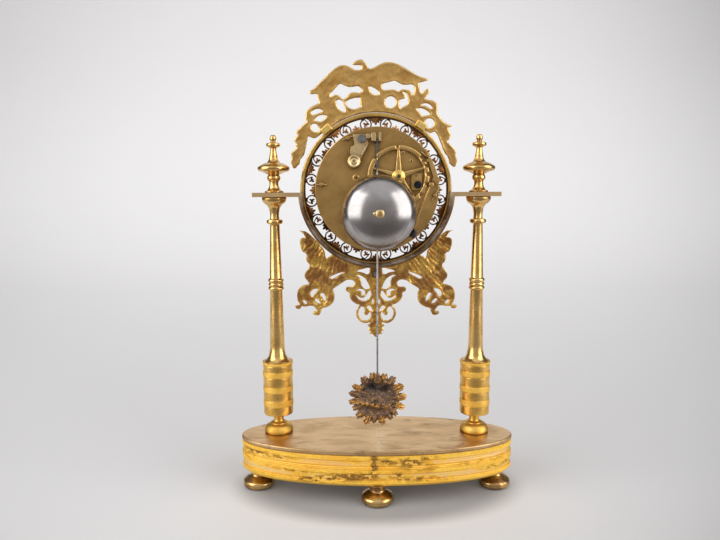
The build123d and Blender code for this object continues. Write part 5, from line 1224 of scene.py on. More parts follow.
LOWER_HOLES = loops_of("""
35.8,161.3 34.6,162.7 31.9,163.9 28.8,165.1 25.7,165.8 26.0,165.1 28.8,163.3 31.9,161.5
34.3,160.5;
51.4,148.6 50.4,151.0 48.4,152.4 45.5,152.7 46.1,150.9 47.7,149.0 48.9,147.0 50.1,146.4;
43.4,148.9 41.4,149.3 39.9,147.7 39.1,145.4 39.3,143.0 40.7,143.8 41.9,145.8 43.0,147.8;
47.8,143.8 46.6,145.0 44.6,143.4 43.5,141.4 45.8,141.4;
57.2,143.4 55.6,143.8 54.2,141.8 54.5,140.9 56.0,140.9;
14.7,166.3 12.8,167.5 10.1,168.1 6.9,169.0 5.0,168.9 5.0,166.9 5.4,165.0 7.0,163.9 9.3,165.0
12.0,165.8;
15.1,163.2 13.2,163.4 10.5,162.2 8.1,160.3 6.6,157.9 5.4,155.1 5.0,153.3 6.6,152.4 8.2,152.4
9.7,153.4 11.3,155.5 11.4,158.7 12.4,161.1;
15.2,147.7 14.1,145.3 11.7,143.4 8.6,143.0 5.8,144.4 4.3,146.8 3.9,149.6 5.0,151.2 7.2,148.4
9.0,146.0 11.3,145.4 13.7,146.5;
14.8,151.6 13.6,152.4 11.7,152.5 9.3,151.6 8.4,149.6 9.4,147.6 10.5,147.2 11.3,148.4
11.1,150.0 12.5,151.0;
11.7,138.3 13.7,134.9 13.3,131.3 11.4,128.5 8.6,127.3 5.9,128.1 4.3,130.1 3.9,132.5 4.7,134.1
6.6,132.0 8.4,131.8 9.4,133.6 8.8,136.0 9.6,138.0;
7.0,138.5 5.1,139.3 3.7,137.7 2.7,135.3 3.9,134.9 5.5,136.5;
3.1,142.8 2.3,144.6 1.9,143.4 2.1,141.2 3.1,141.3""")
# lumps on the -Y face and hollows in the +Y face of each half: x, z, radius, height
LOWER_LUMPS = [(45.8, 184.5, 2.6, 0.8), (47.6, 171.5, 3.0, 0.9), (35.5, 169.5, 3.4, 0.7),
               (54.8, 151.2, 1.8, 0.5), (37.0, 152.0, 2.2, 0.5), (44.6, 160.5, 4.2, 0.9)]
LOWER_HOLLOWS = [(45.8, 184.5, 4.2, 0.45), (47.6, 171.5, 3.4, 0.4), (35.5, 169.5, 4.2, 0.35),
                 (44.6, 160.5, 4.6, 0.4), (55.0, 151.2, 3.2, 0.3), (51.0, 190.0, 3.4, 0.3)]


def streaks(x, z, centre, count, amount, seed):
    """Fine chased lines fanning out from a point."""
    dx, dz = x - centre[0], z - centre[1]
    waver = 0.5 * fbm(x / 5.0, z / 5.0, seed, 2)
    turns = np.arctan2(dz, dx) * count / TAU
    return amount * (zigzag(turns + waver + 0.06 * np.hypot(dx, dz)) - 0.5)


def feathers(row, cell):
    """Height of overlapping scales, and the scale coordinate along the row."""
    cell = cell + 0.5 * (np.floor(row) % 2)
    across = np.abs(cell - np.floor(cell) - 0.5) * 2
    return (1 - (row - np.floor(row))) * (1 - 0.8 * across ** 2), cell


def lumps(x, z, table):
    return sum(height * mound(x, z, at_x, at_z, radius, radius)
               for at_x, at_z, radius, height in table)


def crest_front(points, depth):
    """Feathered wings above foliage, with a swelling between the wings."""
    x, z = points.T
    wing = smoothstep(z, 306.5, 309.5)
    inner = smoothstep(depth, 0.2, 1.2)
    outward = np.where(x > 3, x - 3, 3 - x)
    scales, cell = feathers((z - 312.0 + 0.42 * outward) / 3.6, outward / 3.3)
    height = rim_height(depth, 2.1, 1.3)
    height = height + wing * inner * (0.75 * scales + 0.12 * (zigzag(cell * 4) - 0.5))
    angle, radius = np.arctan2(z - DIAL_Z, x), np.hypot(x, z - DIAL_Z)
    veins = 0.45 * (zigzag(angle * 30 + radius * 0.22) - 0.5) + 0.25 * fbm(x / 2.3, z / 2.3, 4, 2)
    height = height + (1 - wing) * inner * veins
    return np.clip(height + 0.9 * mound(x, z, 2.5, 313.0, 6.5, 6.0) * inner, 0, 4.6)


def crest_back(points, depth):
    """Rough casting with file marks and a slight rim."""
    x, z = points.T
    lump = 0.42 * fbm(x / 6.5, z / 6.5, 21, 3) - 0.12 * smoothstep(depth, 1.0, 4.0)
    file_marks = 0.05 * (value_noise((x + 0.5 * z) / 0.5, (z - 0.5 * x) / 6.0, 8) - 0.5)
    rim = 0.10 * np.exp(-((depth - 0.7) / 0.5) ** 2)
    return smoothstep(depth, 0.2, 1.6) * (lump + file_marks) + rim


def build_crest():
    ring_arc = [polar(58.15, 131.5 - 83.0 * i / 40) for i in range(41)]
    beak = smooth_open(np.vstack([CREST_PLUS_X[:1], CREST_BEAK[::-1], CREST_MINUS_X[:1]]), 4)
    outline = np.vstack([smooth_open(CREST_MINUS_X, 4), ring_arc,
                         smooth_open(CREST_PLUS_X[::-1], 4), beak[1:-1]])
    holes = [smooth_loop(hole) for hole in CREST_HOLES]
    holes += [ellipse_loop(-11.1, 294.5, 4.3), ellipse_loop(-40.6, 278.9, 3.6)]
    shell = Shell()
    relief(shell, [outline] + holes, -16.0, -17.2, 0.62, crest_front, crest_back)
    shell.make("crest_casting", "ormolu", "ormolu", "crest", merge=False, sharp=55)


def lower_front(points, depth):
    """Feathered tips, streaked side figures and stepped scrolls round the middle."""
    x, z = np.abs(points[:, 0]), points[:, 1]
    inner = smoothstep(depth, 0.15, 1.1)
    wing = smoothstep(z, 172, 177)
    scroll = x < 24.5
    scales, _ = feathers((x - 46.0 + 0.35 * (z - 180)) / 3.2, z / 3.0)
    height = rim_height(depth, 2.0, 1.2) + inner * wing * 0.7 * scales
    fur = streaks(x, z, (44.0, 150.0), 60, 0.5, 5) + 0.3 * fbm(x / 3.0, z / 3.0, 6, 2)
    height = height + inner * (1 - wing) * (~scroll) * fur
    height = height + inner * scroll * 0.35 * (zigzag(depth / 0.9) - 0.5)
    return np.clip(height + inner * lumps(x, z, LOWER_LUMPS), 0, 3.4)


def lower_back(points, depth):
    """Rough casting with streaks at the sides and a broken spine down the pendant."""
    x, z = points.T
    out = np.abs(x)
    fur = streaks(x, z, (0.0, DIAL_Z + 12.0), 150, 0.30, 7) * smoothstep(out, 20, 27)
    lump = (0.95 * fbm(x / 9.0, z / 9.0, 41, 2) * (0.35 + 0.65 * smoothstep(out, 14, 26))
            + 0.14 * fbm(x / 1.9, z / 1.9, 43, 2))
    spine = 0.5 * (1 - smoothstep(out, 1.5, 3.6)) * smoothstep(z, 117, 124)
    spine = spine * (1 - smoothstep(z, 158, 164))
    lump = lump + spine * (0.8 * fbm(x / 1.3, z / 1.8, 44, 2) + 0.3)
    rim = 0.14 * np.exp(-((depth - 0.6) / 0.45) ** 2)
    return smoothstep(depth, 0.15, 1.3) * (fur + lump - lumps(out, z, LOWER_HOLLOWS)) + rim


def build_lower():
    ring_radius = 58.2
    ring_arc = [polar(ring_radius, -56.5 - 33.5 * i / 20) for i in range(21)]
    lower = smooth_open(np.vstack([LOWER_EDGE, LOWER_TOP[:1]]), 4)[1:-1]
    upper = np.vstack([smooth_open(LOWER_TOP, 4), ring_arc])
    # from the ring on the centre line, out to the tip and down to the bottom; then mirrored
    chain = np.vstack([upper[::-1], lower[::-1]])
    chain = chain[np.abs(chain[:, 0]) > 1e-6]
    mirror = np.array([-1.0, 1.0])
    outline = np.vstack([chain, LOWER_EDGE[:1], chain[::-1] * mirror,
                         [[0.0, DIAL_Z - ring_radius]]])
    holes = []
    for hole in LOWER_HOLES:
        loop = smooth_loop(hole)
        holes += [loop, loop * mirror]
    holes.append(ellipse_loop(0, 164.6, 1.25, 24))
    shell = Shell()
    relief(shell, [outline] + holes, -16.2, -17.3, 0.62, lower_front, lower_back)
    shell.make("lower_casting", "crumpled", "ormolu", "lower_ornament", merge=False, sharp=55)


build_crest()
build_lower()

# ------------------------------------------------------------------ pierced gallery
GALLERY_Y = -17.7
# half leaves hanging in from the outer ring and standing on the inner ring: radius, degrees
OUTER_LEAF = [(54.2, -4.6), (52.6, -4.9), (51.7, -3.9), (52.2, -3.2), (50.9, -3.0), (50.2, -2.2),
              (50.9, -1.5), (49.8, -1.0), (48.6, 0.0)]
INNER_LEAF = [(45.7, -5.0), (47.1, -5.2), (48.1, -4.4), (47.6, -3.4), (48.9, -3.3), (49.4, -2.2),
              (48.8, -1.4), (50.0, -0.9), (50.9, 0.0)]
# half of the trefoil inside each scroll: across, along its stem
TREFOIL = [(-0.32, -1.9), (-0.32, -0.9), (-1.35, -1.55), (-1.95, -0.75), (-1.45, 0.2),
           (-0.8, 0.35), (-0.7, 1.2), (0.0, 2.1)]
# rings that carry the gallery: fillet, then (radius, y)
RAILS = [(0.25, [(46.2, -17.05), (46.2, -18.4), (41.0, -18.4), (41.0, -17.05)]),
         (0.3, [(54.95, -17.0), (54.95, -18.4), (53.95, -18.4), (53.95, -17.0)])]


def leaf(shell, loop, half, step, bulge):
    """A small leaf, domed on both faces."""
    relief(shell, [smooth_loop(loop, 3)], GALLERY_Y + half * 0.35, GALLERY_Y - half * 0.35, step,
           lambda points, depth: rim_height(depth, bulge, 0.5),
           lambda points, depth: rim_height(depth, bulge, 0.5) + 0.10, rim_drop=0.1)


def scroll(scrolls, leaves, side, degrees):
    """A closed scroll from the outer leaf, with a trefoil on a stem inside it."""
    centre = np.array(polar(49.95, degrees))
    angle = math.radians(degrees)
    radial = np.array([math.cos(angle), math.sin(angle)])
    away = np.array([-radial[1], radial[0]]) * side      # from outer leaf towards inner leaf
    line, width = [], []
    steps = 72
    for i in range(steps + 1):
        f = i / steps
        turn = math.radians(128 - 400 * f)
        radius = 4.55 - 1.05 * f ** 1.4
        line.append(centre + radial * radius * math.sin(turn) - away * radius * math.cos(turn))
        width.append(0.62 - 0.12 * f)
    ribbon(scrolls, line, width, 0.62, GALLERY_Y, 8)
    stem = [line[-1], centre - radial * 0.2 - away * 2.5, centre - away * 1.2]
    ribbon(scrolls, smooth_open(stem, 5), 0.42, 0.5, GALLERY_Y, 8)
    up = radial * 0.80 + away * 0.60
    across = np.array([up[1], -up[0]])
    root = centre + away * 0.1 - radial * 0.2
    leaf(leaves, [root + across * i * 1.05 + up * j * 1.05 for i, j in mirrored(TREFOIL, (-1, 1))],
         half=0.7, step=0.45, bulge=0.28)


def build_gallery():
    scrolls, leaves = Shell(), Shell()
    for fillet, rail in RAILS:
        lathe(scrolls, soften(rail, fillet, closed=True), "Y", DIAL, 200, closed=True)
    for k in range(10):
        degrees = 90 + 36 * k
        for half_leaf, offset in ((OUTER_LEAF, 0), (INNER_LEAF, 18)):
            loop = [polar(radius, degrees + offset + spread)
                    for radius, spread in mirrored(half_leaf, (1, -1))]
            leaf(leaves, loop, half=0.8, step=0.5, bulge=0.35)
        for side in (-1, 1):
            scroll(scrolls, leaves, side, degrees + 9 * side)
    scrolls.make("gallery_scrolls", "gallery", "dark_gilt", "scroll_gallery", merge=False, sharp=60)
    leaves.make("gallery_leaves", "copper_leaf", "dark_gilt", merge=False, sharp=60)


build_gallery()

# ------------------------------------------------------------------ pendulum
BOB_Z = 78.2
BOB_CORE = 16.2                          # radius between the leaves
# leaves of the bob: direction, half width in degrees, reach in mm
LOBES = [(11.7, 8.5, 21.0), (28.5, 8.0, 20.6), (56.0, 10.5, 19.8), (79.0, 10.0, 19.6),
         (107.4, 10.0, 19.4), (128.0, 9.5, 20.6), (152.5, 11.0, 21.3), (176.0, 10.0, 21.2),
         (199.4, 9.0, 20.9), (221.0, 7.5, 19.0), (236.0, 8.0, 18.6), (258.7, 9.0, 20.2),
         (278.5, 7.0, 18.4), (294.7, 9.5, 21.3), (316.5, 10.0, 20.7), (336.5, 8.5, 19.6),
         (352.3, 8.5, 20.9)]
# leaf that covers the foot of the rod: half width, y low, y high, z
SOCKET = [(1.2, 25.0, 26.6, 89.6), (2.2, 24.4, 27.2, 90.4), (2.6, 24.3, 27.5, 92.6),
          (2.3, 24.6, 27.4, 94.8), (1.7, 25.0, 27.0, 96.6), (1.1, 25.2, 26.8, 97.4)]
# wire hook at the top of the rod: y from the rod, z
HOOK = [(0.0, 240.6), (1.1, 241.2), (1.3, 242.2), (0.7, 243.1), (-0.2, 243.2), (-0.9, 242.7)]
HOOK_RADIUS = 0.27


def bob_outline(degrees):
    """Rim radius, place across the nearest leaf (-1..1 within it) and that leaf's number."""
    count = len(degrees)
    rim = np.full(count, BOB_CORE) + 0.5 * fbm(degrees / 7.0, 3.3, 5, 2)
    across, nearest = np.zeros(count), np.zeros(count, int)
    best = np.full(count, 1e9)
    for k, (direction, width, reach) in enumerate(LOBES):
        x = ((degrees - direction + 180) % 360 - 180) / width
        within = np.abs(x) < 1
        bump = np.clip(np.where(within, 1 - np.abs(x) ** 2.8, 0), 0, 1)
        teeth = 0.5 * np.cos(x * math.pi * 2.4 + k) * (np.abs(x) < 0.85)
        rim = np.maximum(rim, BOB_CORE + (reach - BOB_CORE) * bump ** 0.75
                         + teeth * bump ** 0.5 * within)
        near = np.abs(x) < best
        across, nearest = np.where(near, x, across), np.where(near, k, nearest)
        best = np.minimum(best, np.abs(x))
    return np.minimum(rim, 21.45), across, nearest


def bob_rosette(shell):
    """The round casting: a crumpled +Y face, a smoother -Y face and leaves at the rim."""
    cols, rows = 1080, 78
    angle = np.arange(cols) * TAU / cols
    rim, across, nearest = bob_outline(np.degrees(angle))
    across, rim = across[None, :], rim[None, :]
    jitter = np.array([math.sin(3.7 * k + 1.3) for k in range(len(LOBES))])[nearest][None, :]
    radius = (np.linspace(0.004, 1, rows) ** 0.85)[:, None] * rim
    x, z = radius * np.cos(angle), radius * np.sin(angle)
    crumple = fbm(x / 1.4, z / 1.4, 51, 4)
    leaf_zone = smoothstep(radius, 12.2, 15.4)
    dish = 24.5 + 1.3 * smoothstep(radius, 10.0, 14.5)
    boss = 2.7 * mound(x, z, 0, -1.0, 8.0, 5.2)
    # crumpled fold below the boss
    fold_z = -6.0 + 0.020 * (x + 2.0) ** 2 + 1.5 * fbm(x / 4.0, 8.1, 83, 2)
    fold = 1.7 * np.exp(-((z - fold_z) / 2.1) ** 2) * smoothstep(x, -11.5, -7.5)
    fold = fold * (1 - smoothstep(x, 11.5, 15.0)) * (0.65 + 0.6 * fbm(x / 1.9, z / 1.9, 87, 3))
    fold = np.clip(fold, 0, 1.9)
    pits = (-1.3 * mound(x, z, 3.4, 8.3, 3.6, 3.0) - 1.2 * mound(x, z, -5.0, 6.6, 3.4, 2.8)
            - 0.5 * mound(x, z, 1.0, -12.0, 4.5, 2.6))
    rough = (0.55 * crumple + 0.6 * fbm(x / 3.8, z / 3.8, 57, 2)) * smoothstep(radius, 0.5, 3.0)
    back = dish + boss + fold + pits + rough * (1 - 0.35 * leaf_zone)
    # each leaf is cupped across its width, veined, and curls away at the tip
    spine = np.cos(math.pi * np.clip(across, -1, 1) * 0.5) ** 2
    cup = (0.9 + 0.7 * jitter) * (spine - 0.5)
    back = back + leaf_zone * (cup + 0.32 * np.cos(across * math.pi * 3.0) + 0.5 * jitter)
    back = back - 1.2 * smoothstep(radius, 16.5, 21.5) * (0.7 + 0.5 * jitter)
    back = back + 0.22 * fbm(x / 0.8, z / 0.8, 63, 2) * smoothstep(radius, 2, 5)
    back = np.clip(back, 23.9, 28.5)
    petals = 0.5 * np.abs(np.cos(math.pi * 0.5 * np.clip(across, -1, 1)))
    petals = petals * smoothstep(radius, 5, 8) * smoothstep(rim - radius, 0, 1.2)
    front = 22.55 + 2.6 * smoothstep(radius, 9, 21) - petals - 0.5 * np.exp(-(radius / 4.0) ** 2)
    front = np.maximum(np.minimum(back - 0.9, front), 22.0)
    # thin the rim to a third
    thick = 0.35 + 0.65 * smoothstep(rim - radius, 0.0, 0.35)
    middle = (back + front) / 2
    points = [np.stack([x, middle + (face - middle) * thick, BOB_Z + z], -1).reshape(-1, 3)
              for face in (back, front)]
    total = rows * cols
    edge = total - cols
    faces = grid_faces(rows, cols)
    faces = ([face[::-1] for face in faces] + [cap(0, cols)]
             + [tuple(i + total for i in face) for face in faces] + [cap(total, cols)[::-1]]
             + [(edge + j, edge + (j + 1) % cols, total + edge + (j + 1) % cols, total + edge + j)
                for j in range(cols)])
    # dark in the hollows of the back, gilt on the ridges and leaves
    hollow = (0.88 - 0.34 * leaf_zone - 0.50 * fold / 1.5 - 0.16 * boss / 2.7 - 0.22 * crumple
              + 0.2 * np.clip(-pits, 0, 1.2)
              - 0.25 * smoothstep(-x, 12.5, 17.0) * smoothstep(-z, -12.0, 2.0)
              + 0.22 * np.clip(-cup, 0, 1) * leaf_zone + 0.12 * jitter * leaf_zone)
    cav = np.concatenate([np.clip(hollow, 0, 1).ravel(), np.full(total, 0.12)])
    # painted shade: near-black in the two pits of the back and in a smaller patch low on the boss
    pit_shade = (mound(x, z, 3.4, 9.3, 3.4, 2.7) + mound(x, z, -4.8, 7.2, 3.2, 2.5)
            + 0.45 * mound(x, z, 2.5, -2.6, 3.0, 1.2))
    pit_shade = np.clip(pit_shade, 0, 1) ** 0.7
    pit_shade = pit_shade * (0.75 + 0.25 * smoothstep(fbm(x / 2.0, z / 2.0, 71, 2), -0.5, 0.3))
    shell.add(np.vstack(points), faces, cav, np.concatenate([pit_shade.ravel(), np.zeros(total)]))


def bob_socket(shell):
    rings = []
    for half, low, high, z in SOCKET:
        ring = []
        for i in range(28):
            angle = TAU * i / 28
            lump = 1 + 0.16 * fbm(angle * 1.4, z / 2.0, 33, 2)
            across, deep = (math.copysign(abs(value) ** 0.6, value)
                            for value in (math.cos(angle), math.sin(angle)))
            ring.append((across * half * lump, deep * (high - low) / 2 + (low + high) / 2, z))
        rings.append(ring)
    add_rings(shell, rings, np.full(len(SOCKET) * 28, 0.60))


def build_rod():
    rod = Shell()
    lathe(rod, [(0, 91.0), (0.72, 91.0), (0.72, 98.0), (0.66, 98.6), (0.66, 240.9), (0.45, 241.25),
                (0, 241.3)], "Z", (0, PENDULUM_Y), 24)
    wire = smooth_open(HOOK)
    ahead = np.vstack([wire[1:], wire[-1:]]) - np.vstack([wire[:1], wire[:-1]])
    ahead /= np.linalg.norm(ahead, axis=1)[:, None]
    angle = TAU * np.arange(10) / 10
    side, lift = HOOK_RADIUS * np.cos(angle), HOOK_RADIUS * np.sin(angle)
    y = PENDULUM_Y + wire[:, :1] - lift * ahead[:, 1:]
    z = wire[:, 1:] + lift * ahead[:, :1]
    add_rings(rod, np.stack([np.broadcast_to(side, y.shape), y, z], -1))
    rod.make("pendulum_rod_drawn", "steel", "steel", "pendulum_rod", body="pendulum", merge=False,
             sharp=50)


build_rod()
bob = Shell()
bob_rosette(bob)
bob_socket(bob)
bob.make("bob_rosette", "bob_patina", "ormolu", "pendulum_bob", body="pendulum", sharp=70)

# ------------------------------------------------------------------ crest lugs
# outline: outward from the ring, along the ring
LUG = [(-3.0, -3.9), (-2.6, -4.2), (2.4, -4.3), (2.9, -3.9), (3.1, 3.7), (2.7, 4.2), (-2.5, 4.1),
       (-3.0, 3.7)]


def lug_back(points, depth):
    return 0.06 * fbm(points[:, 0] / 1.2, points[:, 1] / 1.2, 71, 2) * smoothstep(depth, 0.2, 0.8)


lugs = Shell()
for degrees in (50.6, 125.2):
    outward = np.array([math.cos(math.radians(degrees)), math.sin(math.radians(degrees))])
    along = np.array([-outward[1], outward[0]])
    centre = np.array(DIAL) + outward * 58.9
    loop = refine([centre + outward * i + along * j for i, j in LUG], 0.5)
    relief(lugs, [loop], -14.2, -16.0, 0.5, flat, lug_back, rim_drop=0.8)
lugs.make("crest_lugs_cast", "lug_gilt", "burnished_gilt", "crest_lugs", merge=False, sharp=50)

# ------------------------------------------------------------------ count wheel
WHEEL = (-15.0, DIAL_Z + 9.1)
WHEEL_BODY = NODES["count_wheel"]["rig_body"]


def build_count_wheel():
    """Rim with a notch after each hour's strokes, five openings, a hub and the arbor's end."""
    notches, strokes = [], 0
    for hour in range(1, 13):
        strokes += hour + 1
        notches.append(140.0 + strokes * 4.0)
    rim = []
    for i in range(240):
        degrees = i * 1.5
        gap = min(abs((degrees - notch + 180) % 360 - 180) for notch in notches)
        rim.append(polar(21.6 if gap > 2.9 else 19.6, degrees, WHEEL))
    holes = []
    for k in range(5):
        start, end = 90 + 72 * k, 162 + 72 * k
        far = [polar(18.5, start + 2.2 + (end - start - 4.4) * i / 14, WHEEL) for i in range(15)]
        near = [polar(4.4, end - 27 - (end - start - 54) * i / 4, WHEEL) for i in range(5)]
        holes.append(refine(far + near, 0.8))
    wheel, hub, arbor = Shell(), Shell(), Shell()
    lathe(hub, profile((1.42, 22.3), [
        (4.6, 22.3), (4.6, 22.9), (3.9, 23.1), (3.9, 23.7), ((3.5, 24.6), (2.6, 25.0)),
        ((2.5, 25.6), (2.0, 25.95)), (1.42, 26.0)], arc_steps=8, fillet=0.15, closed=True),
        "Y", WHEEL, 64, closed=True)
    hub.make("count_wheel_hub_turned", "lug_gilt", "movement_brass", body=WHEEL_BODY, merge=False,
             sharp=40)
    lathe(arbor, soften([(0, 25.0), (1.38, 25.0), (1.38, 26.1), (1.1, 26.2), (0, 26.25)], 0.1),
          "Y", WHEEL, 40)
    arbor.make("count_wheel_arbor_end", "dark_steel", "steel", body=WHEEL_BODY, merge=False,
               sharp=40)
    plate_piece(wheel, [np.array(rim)] + holes, 21.45, 22.55, 0.35, 0.6)
    wheel.make("count_wheel_cut", "wheel_brass_lit", "movement_brass", "count_wheel", body=WHEEL_BODY,
               merge=False, sharp=40)


build_count_wheel()

# ------------------------------------------------------------------ hammer
HAMMER = np.array((-37.8, DIAL_Z + 3.2))             # axis of the arbor, (x, z)
HAMMER_BODY = NODES["hammer"]["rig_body"]
TAIL_TARGET = np.array((-24.2, DIAL_Z + 20.3))       # the tail points here, stopping short
# head outline: distance from the bell's axis, sideways
HAMMER_HEAD = [(26.8, -2.9), (29.3, -3.3), (30.1, -1.2), (30.1, 1.2), (29.3, 3.3), (26.8, 2.9)]


def build_hammer():
    """A bowed arm to a dark head beside the bell's lip, and the arbor with its tail."""
    outward = np.array((-24.0 / 28.09, -14.6 / 28.09))
    sideways = np.array((-outward[1], outward[0]))

    def from_bell(distance, offset):
        return np.array((BELL_X, BELL_Z)) + distance * outward + offset * sideways

    reach = from_bell(28.4, 0) - HAMMER
    length = np.linalg.norm(reach)
    reach /= length
    normal = np.array((-reach[1], reach[0]))
    bow = [HAMMER + reach * length * f + normal * 1.1 * math.sin(math.pi * f)
           for f in np.linspace(0.03, 0.97, 20)]
    arm, head, arbor = Shell(), Shell(), Shell()
    ribbon(arm, bow, np.linspace(0.7, 0.42, 20), 0.5, 24.1)
    lathe(arm, soften([(0, 23.1), (1.7, 23.1), (1.75, 23.4), (1.75, 25.3), (1.4, 25.6), (0, 25.7)],
                      0.2), "Y", HAMMER, 40)
    arm.make("hammer_arm_filed", "wheel_brass_lit", "steel", "hammer", body=HAMMER_BODY, merge=False,
             sharp=60)
    outline = refine([from_bell(*corner) for corner in HAMMER_HEAD], 0.7)
    plate_piece(head, [outline], 24.3, 30.9, 0.6, 0.6)
    head.make("hammer_head_filed", "dark_steel", "steel", body=HAMMER_BODY, merge=False, sharp=50)
    lathe(arbor, soften([
        (0, -12.8), (0.95, -12.8), (0.95, -3.3), (1.6, -3.2), (1.6, -1.2), (0.95, -1.1),
        (0.95, 23.2), (0, 23.2)], 0.1), "Y", HAMMER, 28)
    tail = TAIL_TARGET - HAMMER
    distance = np.linalg.norm(tail)
    tail /= distance
    line = [HAMMER + tail * (distance - 6.2) * f for f in np.linspace(0, 1, 14)]
    ribbon(arbor, line, np.linspace(1.1, 0.75, 14), 0.6, -2.2)
    arbor.make("hammer_arbor_turned", "steel", "steel", body=HAMMER_BODY, merge=False, sharp=50)


build_hammer()

# bushings with oil sinks in the back plate: x, z from the dial axis, radius
BUSHINGS = [(14.7, 8.3, 2.5), (2.6, 19.0, 1.3), (-24.2, 20.3, 1.2), (-18.4, 25.8, 1.1),
            (-11.2, 28.5, 1.1)]
bushings, pivots = Shell(), Shell()
for x, z, radius in BUSHINGS:
    centre = (x, DIAL_Z + z)
    lathe(bushings, soften([
        (0.72, 17.6), (radius, 17.6), (radius, 18.28), (radius - 0.25, 18.45),
        (radius - 0.5, 18.4), (0.9, 18.1), (0.72, 18.05)], 0.1, closed=True),
        "Y", centre, 40, closed=True)
    lathe(pivots, [(0, 17.7), (0.66, 17.7), (0.66, 18.25), (0.45, 18.4), (0, 18.42)], "Y", centre, 24)
bushings.make("bushings_turned", "lug_gilt", "movement_brass", merge=False, sharp=40)
pivots.make("bushing_cores", "dark_steel", "steel", merge=False, sharp=40)


# ------------------------------------------------------------------ stage, metres from here on
def sweep_paper():
    n = Net("sweep_paper")
    place = n.split(n.place)
    seen = n.add("ShaderNodeLightPath").outputs["Is Camera Ray"]
    # a dark apron at the +Y side and the flanks, seen only in reflections
    apron = n.math("MAXIMUM", n.mul(n.remap(place[1], span=(0.10, 0.18)), 0.85),
                   n.mul(n.remap(n.math("ABSOLUTE", place[0]), span=(0.75, 1.05)), 0.85))
    apron = n.mul(apron, n.minus(1.0, seen))
    # painted shade: a soft fall-off towards the corners of the frame, for camera rays
    window = n.split(n.add("ShaderNodeTexCoord").outputs["Window"])
    off_x, off_y = n.minus(window[0], 0.42), n.minus(window[1], 0.5)
    square = n.plus(n.mul(off_x, off_x), n.mul(n.mul(off_y, off_y), 0.56))
    fall = n.minus(1.0, n.mul(n.mul(square, square), 1.35))
    fall = n.math("MAXIMUM", n.plus(n.mul(n.minus(fall, 1.0), seen), 1.0), 0.3)
    # painted shadow: a darker oval under the base, half axes 0.108 and 0.060
    shadow_x = n.math("DIVIDE", place[0], 0.108)
    shadow_y = n.math("DIVIDE", n.plus(place[1], 0.006), 0.060)
    painted_base_shadow = n.remap(n.plus(n.mul(shadow_x, shadow_x), n.mul(shadow_y, shadow_y)), span=(0.60, 1.22),
                   to=(0.50, 1.0))
    fall = n.mul(fall, painted_base_shadow)
    grain = n.mix(n.noise(n.mm(), scale=0.004, detail=2.0), (0.715, 0.706, 0.704),
                  (0.70, 0.692, 0.694))
    shaded = n.add("ShaderNodeVectorMath", operation="SCALE")
    n.put(shaded.inputs[0], grain)
    n.put(shaded.inputs["Scale"], fall)
    n.set("Base Color", n.mix(apron, shaded.outputs[0], (0.10, 0.09, 0.085)))
    n.set("Roughness", 0.8)
    n.set("Specular IOR Level", 0.2)
    # a little glow, stronger towards the wall
    far = n.remap(place[1], span=(-0.95, -0.08), to=(1.0, 0.0))
    glow = n.plus(n.plus(0.058, n.mul(far, 0.145)),
                  n.remap(place[1], span=(-1.6, -0.95), to=(0.12, 0.0)))
    n.set("Emission Color", (1.0, 0.992, 0.995))
    n.set("Emission Strength", n.mul(n.mul(glow, fall), n.minus(1.0, apron)))
    return n.material


def build_stage():
    """Paper sweep: floor, a curve of radius 0.7 starting at y = -0.9, and a wall."""
    half_width, bend_y, radius = 3.0, -0.9, 0.7
    line = [(0.46, 0.0), (0.14, 0.0), (bend_y, 0.0)]
    line += [(bend_y - radius * math.sin(math.radians(k)), radius - radius * math.cos(math.radians(k)))
             for k in range(6, 91, 6)]
    line.append((-1.6, 3.0))
    points = [(x, y, z) for y, z in line for x in (-half_width, half_width)]
    faces = [(i, i + 1, i + 3, i + 2) for i in range(0, 2 * len(line) - 2, 2)]
    mesh = bpy.data.meshes.new("sweep")
    mesh.from_pydata(points, [], faces)
    mesh.polygons.foreach_set("use_smooth", [True] * len(faces))
    sweep = bpy.data.objects.new("sweep", mesh)
    bpy.context.scene.collection.objects.link(sweep)
    mesh.materials.append(sweep_paper())


build_stage()


# ------------------------------------------------------------------ lights
def area_light(name, location, target, width, height, radiance):
    light = bpy.data.lights.new(name, "AREA")
    light.shape = "RECTANGLE"
    light.size, light.size_y = width, height
    light.energy = radiance * math.pi * width * height
    light.color = (1, 1, 1)
    lamp = bpy.data.objects.new(name, light)
    lamp.location = location
    aim = Vector(target) - Vector(location)
    lamp.rotation_euler = aim.to_track_quat("-Z", "Y").to_euler()
    bpy.context.scene.collection.objects.link(lamp)
    return lamp


for name, x, radiance in (("softbox_left", 0.865, 2.75), ("softbox_right", -0.865, 2.6)):
    area_light(name, location=(x, 0.45, 0.53), target=(0, 0, 0.22), width=0.82, height=1.06,
               radiance=radiance)
# a low card on the +Y side that lights the drum of the base only
card = area_light("low_card", location=(0, 0.40, 0.05), target=(0, 0.05, 0.03), width=0.62,
                  height=0.085, radiance=2.0)
receivers = bpy.data.collections.new("low_card_receivers")
receivers.objects.link(bpy.data.objects["base_drum"])
card.light_linking.receiver_collection = receivers

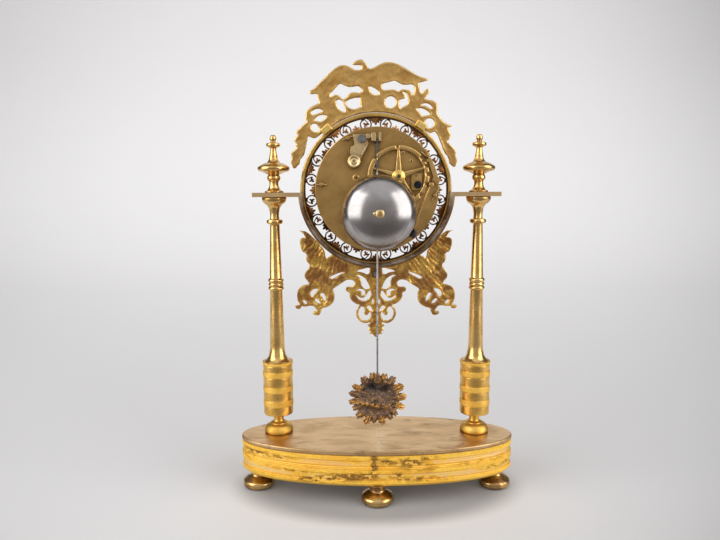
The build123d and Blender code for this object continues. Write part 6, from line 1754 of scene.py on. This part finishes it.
# room light: place on the ramp from straight down (0) to straight up (1), colour
ROOM_RAMP = [(0.28, (0.16, 0.14, 0.125, 1)), (1.0, (0.85, 0.85, 0.86, 1)),
             (0.48, (0.43, 0.415, 0.405, 1)), (0.66, (0.52, 0.515, 0.515, 1)),
             (0.82, (0.75, 0.75, 0.76, 1))]


def build_world():
    world = bpy.data.worlds.new("studio")
    bpy.context.scene.world = world
    world.use_nodes = True
    nodes, link = world.node_tree.nodes, world.node_tree.links.new
    nodes.clear()
    output = nodes.new("ShaderNodeOutputWorld")
    background = nodes.new("ShaderNodeBackground")
    coords = nodes.new("ShaderNodeTexCoord")
    split = nodes.new("ShaderNodeSeparateXYZ")
    link(coords.outputs["Generated"], split.inputs[0])
    ramp = nodes.new("ShaderNodeValToRGB")
    upward = nodes.new("ShaderNodeMapRange")
    upward.inputs["From Min"].default_value = -1
    upward.inputs["From Max"].default_value = 1
    link(split.outputs["Z"], upward.inputs["Value"])
    link(upward.outputs[0], ramp.inputs[0])
    stops = ramp.color_ramp.elements
    for i, (position, color) in enumerate(ROOM_RAMP):
        stop = stops[i] if i < 2 else stops.new(position)
        stop.position = position
        stop.color = color
    link(ramp.outputs[0], background.inputs[0])
    # the room is darker towards -Y
    side = nodes.new("ShaderNodeMapRange")
    for key, value in (("From Min", -0.22), ("From Max", 0.12), ("To Min", 0.13), ("To Max", 1.0)):
        side.inputs[key].default_value = value
    link(split.outputs["Y"], side.inputs["Value"])
    link(side.outputs[0], background.inputs[1])
    link(background.outputs[0], output.inputs[0])


build_world()

# ------------------------------------------------------------------ camera, on the +Y side
camera_data = bpy.data.cameras.new("camera")
camera = bpy.data.objects.new("camera", camera_data)
bpy.context.scene.collection.objects.link(camera)
camera_data.sensor_width = 36.0
camera_data.lens = 30.39075
camera_data.clip_start, camera_data.clip_end = 0.01, 20.0
view = Matrix(((-0.999987, -0.0038, -0.00338), (-0.002888, -0.122873, 0.992418),
               (-0.004187, 0.992415, 0.12286))).to_4x4()
camera_place = (0.010801, (452.764 + BASE_Y) * MM, 0.225515)
camera.matrix_world = Matrix.Translation(camera_place) @ view
bpy.context.scene.camera = camera

settings = bpy.context.scene.view_settings
settings.view_transform = "Standard"
settings.look = "None"
settings.exposure = 0.0
